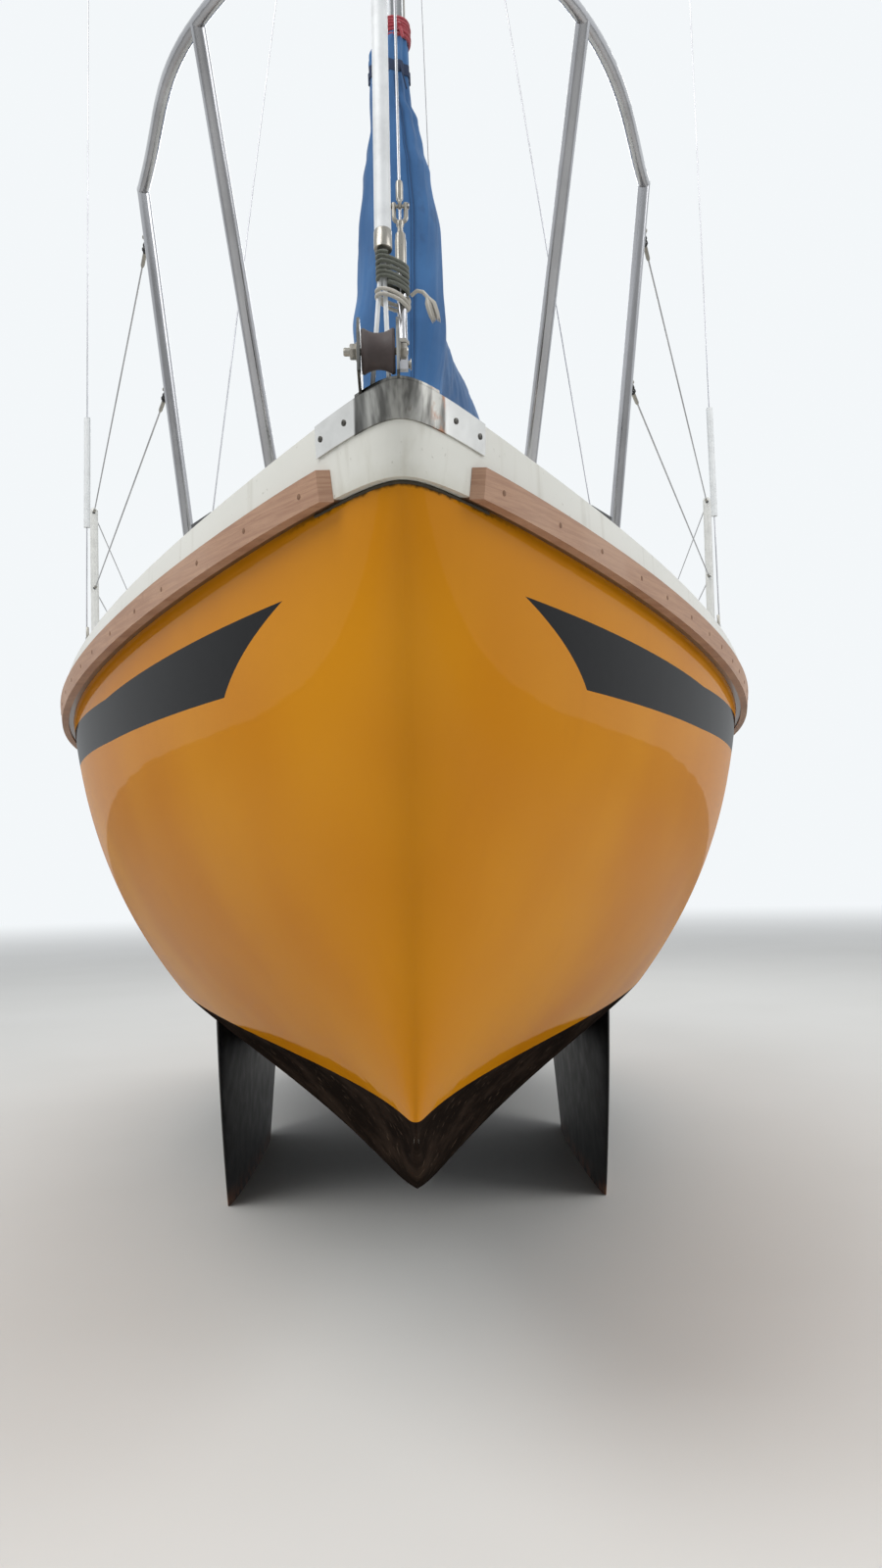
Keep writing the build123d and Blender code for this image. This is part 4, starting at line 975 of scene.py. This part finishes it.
def mast_gear():
    """Halyards, cleats, sheave box and the roots of the spreaders."""
    ropes = Shape()
    metal = Shape()
    x = MAST[0] + 0.012
    for side, _name in SIDES:
        for low, high in HALYARD_RUNS:
            ropes.bar([(x, side * 0.0445, z) for z in (low, (low + high) / 2, high)], CORD_RADIUS, 9)
        # cleat with its turns
        base = vec(x, side * 0.0375, CLEAT_Z)
        metal.slab(rounded(0.026, 0.07, 0.01), base, X, Z, -side * 0.004, 0.001)
        metal.bar(steps_from(base, *[(0, side * y, z) for y, z in
                                     ((0.022, -0.062), (0.026, -0.02), (0.026, 0.02), (0.022, 0.062))]),
                  [0.004, 0.0065, 0.0065, 0.004], 12)
        for dz in (-0.018, 0.018):
            metal.bar(steps_from(base, (0, side * 0.002, dz), (0, side * 0.026, dz)), 0.0065, 12)
        for k in range(4):
            near, far = side * (0.012 + k * 0.0035), side * (0.031 + k * 0.0035)
            ropes.bar(steps_from(base, (0.01, near, -0.03), (-0.01, far, 0), (0.01, near, 0.03)), 0.0033, 7)
        # root bracket of the spreader
        metal.slab(rounded(0.07, 0.06, 0.012), (MAST[0] - 0.01, side * 0.0375, 6.8), X, Z, -side * 0.003)
    # sheave box on the masthead
    for side in (-1, 1):
        metal.slab([(-0.085, -0.006), (0.075, -0.006), (0.075, 0.016), (0.05, 0.03), (-0.06, 0.03),
                    (-0.085, 0.016)], (MAST[0], side * 0.014, MASTHEAD_Z + 0.0145), X, Z, side * 0.003)
    ropes.build("halyards", HALYARD, "white_plastic")
    metal.build("mast_gear", MATERIALS["spar_alloy"], "spar_alloy")


def boom_cap():
    cap = Shape()
    wide, high = BOOM_HALF
    loops = []
    for at, grow in ((2.56, 0.0015), (2.602, 0.0015), (2.606, -0.002)):
        loops.append(cap.loop(disc(GOOSE + BOOM_X * at, BOOM_Y, Z, wide + grow, high + grow, 32)))
    cap.skin(loops)
    ring(cap, GOOSE + BOOM_X * 2.585 + vec(0, 0, 0.044), BOOM_X, Z, 0.01, 0.003)
    cap.build("boom_cap", MATERIALS["black_plastic"], "black_plastic", body="boom")


# --- rails ---
def base_screws():
    places = []

    def plate(x, y, radius, count, start):
        for k in range(count):
            turn = radians(start + 360 * k / count)
            px, py = x + radius * cos(turn), y + radius * sin(turn)
            places.append(((px, py, deck_z(x) + 0.007), Z))

    for side, _name in SIDES:
        plate(PULPIT_AFT[0].x, side * PULPIT_AFT[0].y, 0.0245, 3, 30)
        plate(PULPIT_FORE[0], side * PULPIT_FORE[1], 0.0245, 3, 30)
        for x in STANCHION_X:
            low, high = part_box("stanchion_%s_port" % ("front" if x > 0 else "aft"))
            plate(x, side * (low[1] + high[1]) / 2, 0.03, 4, 45)
    screws("rail_screws", places, 4.2)


def wire_ends():
    metal = Shape()
    cord = Shape()
    foot, top = PULPIT_AFT
    low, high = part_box("stanchion_front_port")
    post_x, post_y = STANCHION_X[0], (low[1] + high[1]) / 2
    for side, _name in SIDES:
        for z, at in WIRE_EYES:
            share = (z - deck_z(foot.x)) / (top.z - deck_z(foot.x))
            leg = vec(foot.x + (top.x - foot.x) * share, side * (foot.y + (top.y - foot.y) * share), z)
            start = leg + vec(-0.0136, side * 0.002, 0)
            goal = vec(post_x, side * post_y, deck_z(post_x) + at)
            axis = (goal - start).normalized()
            # eye welded to the leg, shackle, swaged end and cord seizing
            ring(metal, start - axis * 0.001, axis, Z, 0.0095, 0.003)
            ring(metal, start + axis * 0.014, axis, axis.cross(Z), 0.01, 0.0026)
            metal.turned([(4, 70), (4.6, 74), (4.6, 118), (3.6, 124), (2.4, 128)], start, axis, 14)
            u = axis.cross(Z).normalized()
            v = axis.cross(u)
            path = []
            for k in range(90):
                t = tau * k / 9
                fat = 0.0052 + 0.0018 * sin(k * 0.21)
                path.append(start + axis * (0.022 + 0.05 * k / 90) + u * cos(t) * fat + v * sin(t) * fat)
            cord.bar(path, 0.0017, 6)
            # joints of the wire at the stanchion
            collar = goal + axis * 0.016
            metal.turned([(3, 0), (4.6, 2), (4.6, 10), (3, 12)], collar - axis * 0.047, axis, 12)
    metal.build("wire_ends", BRIGHT, "stainless")
    cord.build("wire_seizings", WORN_BLACK, "black_plastic")


# --- windows, hatches and doors ---
def window_frames():
    for side, name in SIDES:
        shape = Shape()
        path = []
        for u, v in rounded(1.92, 0.22, 0.09, 8):
            place, normal = from_side("deck_moulding", -0.06 + u, 2.01 + v, side)
            path.append(place + normal * 0.0005)
        shape.bar(path, 0.0085, 10, closed=True, squash=0.55, up=(0, side, 0))
        shape.build("window_rubber_" + name, GASKET, "rubber")


def fore_hatch_trim():
    """Raised panel, hinges and catch."""
    lid = Shape()
    lid.slab(rounded(0.4, 0.4, 0.06, 8), FORE_HATCH, X, Y, 0.006, 0.004)
    lid.build("fore_hatch_panel", MATERIALS["gelcoat_white"], "gelcoat_white", body="fore_hatch")
    metal = Shape()
    for y in (-0.15, 0.15):
        metal.pin([(6, 30), (6.8, 28)], (2.4125, y, 1.952), Y, 16)
        metal.slab(rounded(0.046, 0.052, 0.006), (2.384, y, 1.964), X, Y, 0.0022)
        for dx in (-0.012, 0.008):
            for dy in (-0.016, 0.016):
                metal.head((2.384 + dx, y + dy, 1.9662), Z, 3.6)
    metal.slab(rounded(0.02, 0.06, 0.006), (1.914, 0, 1.948), Y, Z, -0.005, 0.001)
    metal.build("fore_hatch_hinges", BRIGHT, "stainless", body="fore_hatch")


def sliding_hatch_trim():
    """Slats and handle."""
    slats = Shape()
    for y in spread(-0.22, 0.22, 5):
        slats.slab(rounded(0.6, 0.036, 0.012), (-0.985, y, SLIDE_TOP), X, Y, 0.009, 0.003)
    slats.slab(rounded(0.03, 0.52, 0.01), (-1.335, 0, SLIDE_TOP), X, Y, 0.022, 0.005)
    slats.build("sliding_hatch_slats", SLAT_TEAK, "teak", body="sliding_hatch")


def door_trim(side, name):
    """Frame and knob of one door."""
    wood = Shape()
    low, high = DOOR_Z
    inner, outer = DOOR_Y
    left, right = inner + DOOR_STILE, outer - DOOR_STILE
    boards = ((inner, left, low, high), (right, outer, low, high), (left, right, high - 0.055, high),
              (left, right, low, low + 0.075), (left, right, 1.9, 1.95))
    for y1, y2, z1, z2 in boards:
        centre = (DOOR_FACE, side * (y1 + y2) / 2, (z1 + z2) / 2)
        wood.slab(rounded(y2 - y1, z2 - z1, 0.003, 2), centre, (0, -1, 0), Z, 0.006, 0.0012)
    wood.build("door_frame_" + name, DOOR_TEAK, "teak", body="door_" + name)
    brass = Shape()
    brass.turned([(12, 5.8), (12, 7.6), (5, 9), (5, 18), (11, 23), (12.5, 28), (9, 33)],
                 (DOOR_FACE, side * 0.028, 1.925), (-1, 0, 0), 24)
    brass.build("door_knob_" + name, BRASS, "stainless", body="door_" + name)


def locker_slats(side, name):
    lid = Shape()
    for y in spread(0.382, 0.582, 5):
        lid.slab(rounded(0.86, 0.038, 0.006, 3), (-2.3, side * y, LOCKER_TOP), X, Y, 0.0055, 0.0015)
    lid.build("locker_slats_" + name, SLAT_TEAK, "teak", body="locker_lid_" + name)


def winch_trim():
    shape = Shape()
    for side, _name in SIDES:
        centre = vec(WINCH[0], side * WINCH[1], WINCH[2])
        for z, r in ((0.02, 0.0292), (0.034, 0.0282), (0.048, 0.027), (0.062, 0.0258)):
            ring(shape, centre + vec(0, 0, z), X, Y, r, 0.0012, 6, 40)
        shape.turned([(20, 85.8), (21.5, 86.8), (21.5, 88.5), (10, 89)], centre, Z, 28)
    shape.build("winch_trim", BRIGHT, "stainless")


def rudder_bolts():
    """Bolts of the straps on the raked blade."""
    along_blade = vec(cos(RAKE), 0, sin(RAKE))
    up_blade = vec(-sin(RAKE), 0, cos(RAKE))
    bolts = []
    for z in (-0.04, 0.64):
        for dz in (-0.036, 0.036):
            for dx in (-0.06, -0.115):
                for side, _name in SIDES:
                    place = PINTLE + along_blade * dx + up_blade * (z + dz) + vec(0, side * 0.0231, 0)
                    bolts.append((place, (0, side, 0)))
    screws("rudder_bolts", bolts, 6, "hex", "rudder")


# --- sail cover ---
COVER = (
    # z, x centre, y centre, half long, half wide
    (2.800, 0.985, 0.010, 0.118, 0.130),
    (3.085, 0.975, 0.008, 0.146, 0.158),
    (3.215, 0.975, 0.014, 0.146, 0.147),
    (3.410, 0.984, 0.017, 0.140, 0.142),
    (3.592, 1.000, 0.013, 0.126, 0.120),
    (3.670, 1.008, 0.008, 0.116, 0.101),
    (3.767, 1.018, 0.006, 0.102, 0.084),
    (3.832, 1.028, -0.008, 0.092, 0.071),
    (3.930, 1.037, -0.010, 0.080, 0.066),
    (3.985, 1.038, -0.012, 0.082, 0.069),
    (4.060, 1.040, 0.004, 0.072, 0.052),
)
COVER_LOW, COVER_HIGH, STRAP_Z = 2.8, 4.06, 3.93
BOOM_COVER = (
    # along the boom, z centre, half wide, half high
    (0.090, 0.030, 0.090, 0.180),
    (0.200, 0.020, 0.100, 0.183),
    (0.900, 0.010, 0.091, 0.160),
    (1.700, 0.005, 0.075, 0.126),
    (2.500, 0.000, 0.048, 0.078),
)
BOOM_COVER_START, BOOM_COVER_END = 0.09, 2.5
FOOT_GAP = radians(9)               # half of the opening along the boom cover's foot


def cover_point(z, t, out=0):
    """A point of the mast cover at a height and a turn from the bow, with folds and gathers."""
    cx, cy, a, b = smooth_row(COVER, z)
    tight = max(0, 1 - abs(z - STRAP_Z) / 0.5)
    d = vec(cos(t), sin(t), 0)
    # gathers that run down from the strap, then wide soft folds
    gather = sin(11 * t + 1.6 * sin(2 * z)) * 0.06 * tight ** 1.5
    soft = noise.noise(vec(d.x * 1.6, d.y * 1.6, z * 1.1 + 3)) * 0.16 * (1 - tight * 0.6)
    crease = abs(noise.noise(vec(d.x * 2.4 + 9, d.y * 2.4, z * 3 - d.y * 2.2))) * 0.07
    fine = abs(noise.noise(vec(d.x * 6, d.y * 6 + 5, z * 5 + d.x * 3))) * 0.016
    diagonal = sin(3 * t - 7 * z) * 0.012
    k = 1 + gather + soft * 0.6 - crease - fine + diagonal
    return vec(cx + cos(t) * (a * k + out), cy + sin(t) * (b * k + out), z)


def boom_cover_point(s, share, out=0):
    """A point of the boom cover along the boom and round from one lower edge to the other."""
    zc, a, b = smooth_row(BOOM_COVER, s)
    t = -pi / 2 + FOOT_GAP + 2 * (pi - FOOT_GAP) * share
    c, d = cos(t), sin(t)
    ridge = 1 - 0.26 * abs(c) ** 1.5 * max(0, d)          # roof-like over the flaked sail
    sag = noise.noise(vec(s * 2.2, c * 1.4, d * 1.4)) * 0.1
    crease = abs(noise.noise(vec(s * 6 + d * 2, c * 2 + 4, d * 1.5))) * 0.09
    fine = abs(noise.noise(vec(s * 15, c * 4 + 2, d * 4))) * 0.03
    tie = exp(-(((s + 0.1) % 0.5 - 0.25) / 0.05) ** 2) * 0.045
    k = 0.98 * ridge + sag * 0.6 - crease - fine - tie
    return GOOSE + BOOM_X * s + BOOM_Y * (c * (a * k + out)) + vec(0, 0, zc + d * (b * k + out))


def cloth(name, rows, body):
    """One layer of cloth through rows of points, open along its edges."""
    shape = Shape()
    loops = [shape.loop(row) for row in rows]
    for a, b in zip(loops, loops[1:]):
        shape.bridge(a, b, closed=False)
    return shape.build(name, MATERIALS["canvas"], "canvas", body, 80)


def mast_cover():
    around, lap = 150, 7
    rows = []
    for z in spread(COVER_LOW, COVER_HIGH, 127):
        # the second edge lies over the first, down the front
        rows.append([cover_point(z, tau * k / around, 0.0035 if k > around else 0)
                     for k in range(around + lap + 1)])
    cover = cloth("cover_mast", rows, None)
    # hems at both ends and the sewn front edge
    sewn = Shape()
    for z, r in ((COVER_LOW + 0.002, 0.0032), (COVER_LOW + 0.032, 0.0012), (COVER_HIGH - 0.003, 0.0032)):
        sewn.bar([cover_point(z, t, 0.0006) for t in angles(around)], r, 6, closed=True)
    for t, r in ((0.3, 0.0022), (0.23, 0.0009)):
        sewn.bar([cover_point(z, t, 0.0046) for z in spread(COVER_LOW, STRAP_Z - 0.03, 91)], r, 6)
    hems = sewn.build("cover_mast_hems", CANVAS_SEAM, "canvas", None, 80)
    # webbing strap with its buckle
    strap = Shape()
    loops = []
    for dz, out in ((-0.019, 0.0015), (-0.019, 0.005), (0.019, 0.005), (0.019, 0.0015)):
        loops.append(strap.loop([cover_point(STRAP_Z + dz, t, out) for t in angles(around)]))
    strap.skin(loops, closed=True)
    strap.bar([cover_point(STRAP_Z - 0.004 - 0.02 * i, 0.52 + 0.03 * i, 0.01 + 0.002 * i) for i in range(5)],
              0.0075, 8, squash=0.3)
    strap.build("cover_strap", WEB, "black_plastic", sharp=50)
    for piece in (cover, hems):
        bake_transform(piece)
    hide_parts("sail_cover_mast")


def boom_cover():
    around = 96
    stations = spread(BOOM_COVER_START, BOOM_COVER_END, 151)
    rows = [[boom_cover_point(s, k / around) for k in range(around + 1)] for s in stations]
    cover = cloth("cover_boom", rows, "boom")
    sewn = Shape()
    for share in (0.001, 0.999):
        sewn.bar([boom_cover_point(s, share, 0.0004) for s in stations], 0.0034, 6)
    sewn.bar([boom_cover_point(s, 0.5, 0.001) for s in stations], 0.002, 6)
    for s in (BOOM_COVER_START + 0.002, BOOM_COVER_END - 0.002):
        sewn.bar([boom_cover_point(s, k / around, 0.0004) for k in range(around + 1)], 0.0032, 6)
    hems = sewn.build("cover_boom_hems", CANVAS_SEAM, "canvas", "boom", 80)
    # cord that laces the two edges under the boom, through eyelets
    lace, eyelets = Shape(), Shape()
    path = []
    for i in range(26):
        s = 0.15 + 0.092 * i
        share = 0.016 if i % 2 else 0.984
        place = boom_cover_point(s, share, 0.003)
        path.append(place)
        out = (place - (GOOSE + BOOM_X * s + vec(0, 0, place.z - GOOSE.z + 0.03))).normalized()
        ring(eyelets, place - out * 0.0015, BOOM_X, BOOM_X.cross(out), 0.007, 0.0018, 6, 16)
    lace.bar(path, 0.0021, 7)
    cord = lace.build("cover_lacing", HALYARD, "white_plastic", "boom")
    rings = eyelets.build("cover_eyelets", BRASS, "stainless", "boom")
    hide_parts("sail_cover_boom")


def red_tie():
    """Turns of red tape round the mast and the neck of the cover, with a knot."""
    shape = Shape()
    for i in range(6):
        z = 4.04 + 0.0125 * i
        grow = 0.0065 + 0.0015 * sin(2.1 * i)
        path = [(1.04 + cos(t) * (0.0625 + grow), 0.008 + sin(t) * (0.044 + grow),
                 z + 0.004 * sin(t + i)) for t in angles(40)]
        shape.bar(path, 0.0068, 9, closed=True)
    knot = vec(1.108, 0.022, 4.07)
    for k in range(3):
        shape.bar(steps_from(knot, (-0.004, -0.014 + 0.009 * k, 0.012), (0.01, -0.004 + 0.003 * k, 0),
                             (-0.002, 0.012 - 0.006 * k, -0.014)), 0.0062, 9)
    shape.bar(steps_from(knot, (0, 0, 0), (0.01, 0.01, -0.02), (0.012, 0.016, -0.05)),
              [0.0055, 0.006, 0.0045], 8)
    shape.build("red_tie", RED_TIE, "canvas")


camera()
world()
for lamp_row in LAMPS:
    lamp(*lamp_row)

floor = Shape()
floor.slab([(-30, -30), (30, -30), (30, 30), (-30, 30)], (0, 0, -0.021), X, Y, 0.02)
floor_obj = floor.build("floor", floor_material(), "inner_white")
floor_obj.parent = None

mast_cover()
boom_cover()
red_tie()
bow_screws()
moss_joint()
roller_tyre()
axle_nuts()
strake_plugs()
stay_fittings()
spar_end()
lashing()
rigging_trim()
spreader_boots()
mast_gear()
boom_cap()
base_screws()
wire_ends()
window_frames()
fore_hatch_trim()
sliding_hatch_trim()
for side_sign, side_name in SIDES:
    door_trim(side_sign, side_name)
for side_sign, side_name in SIDES:
    locker_slats(side_sign, side_name)
winch_trim()
rudder_bolts()
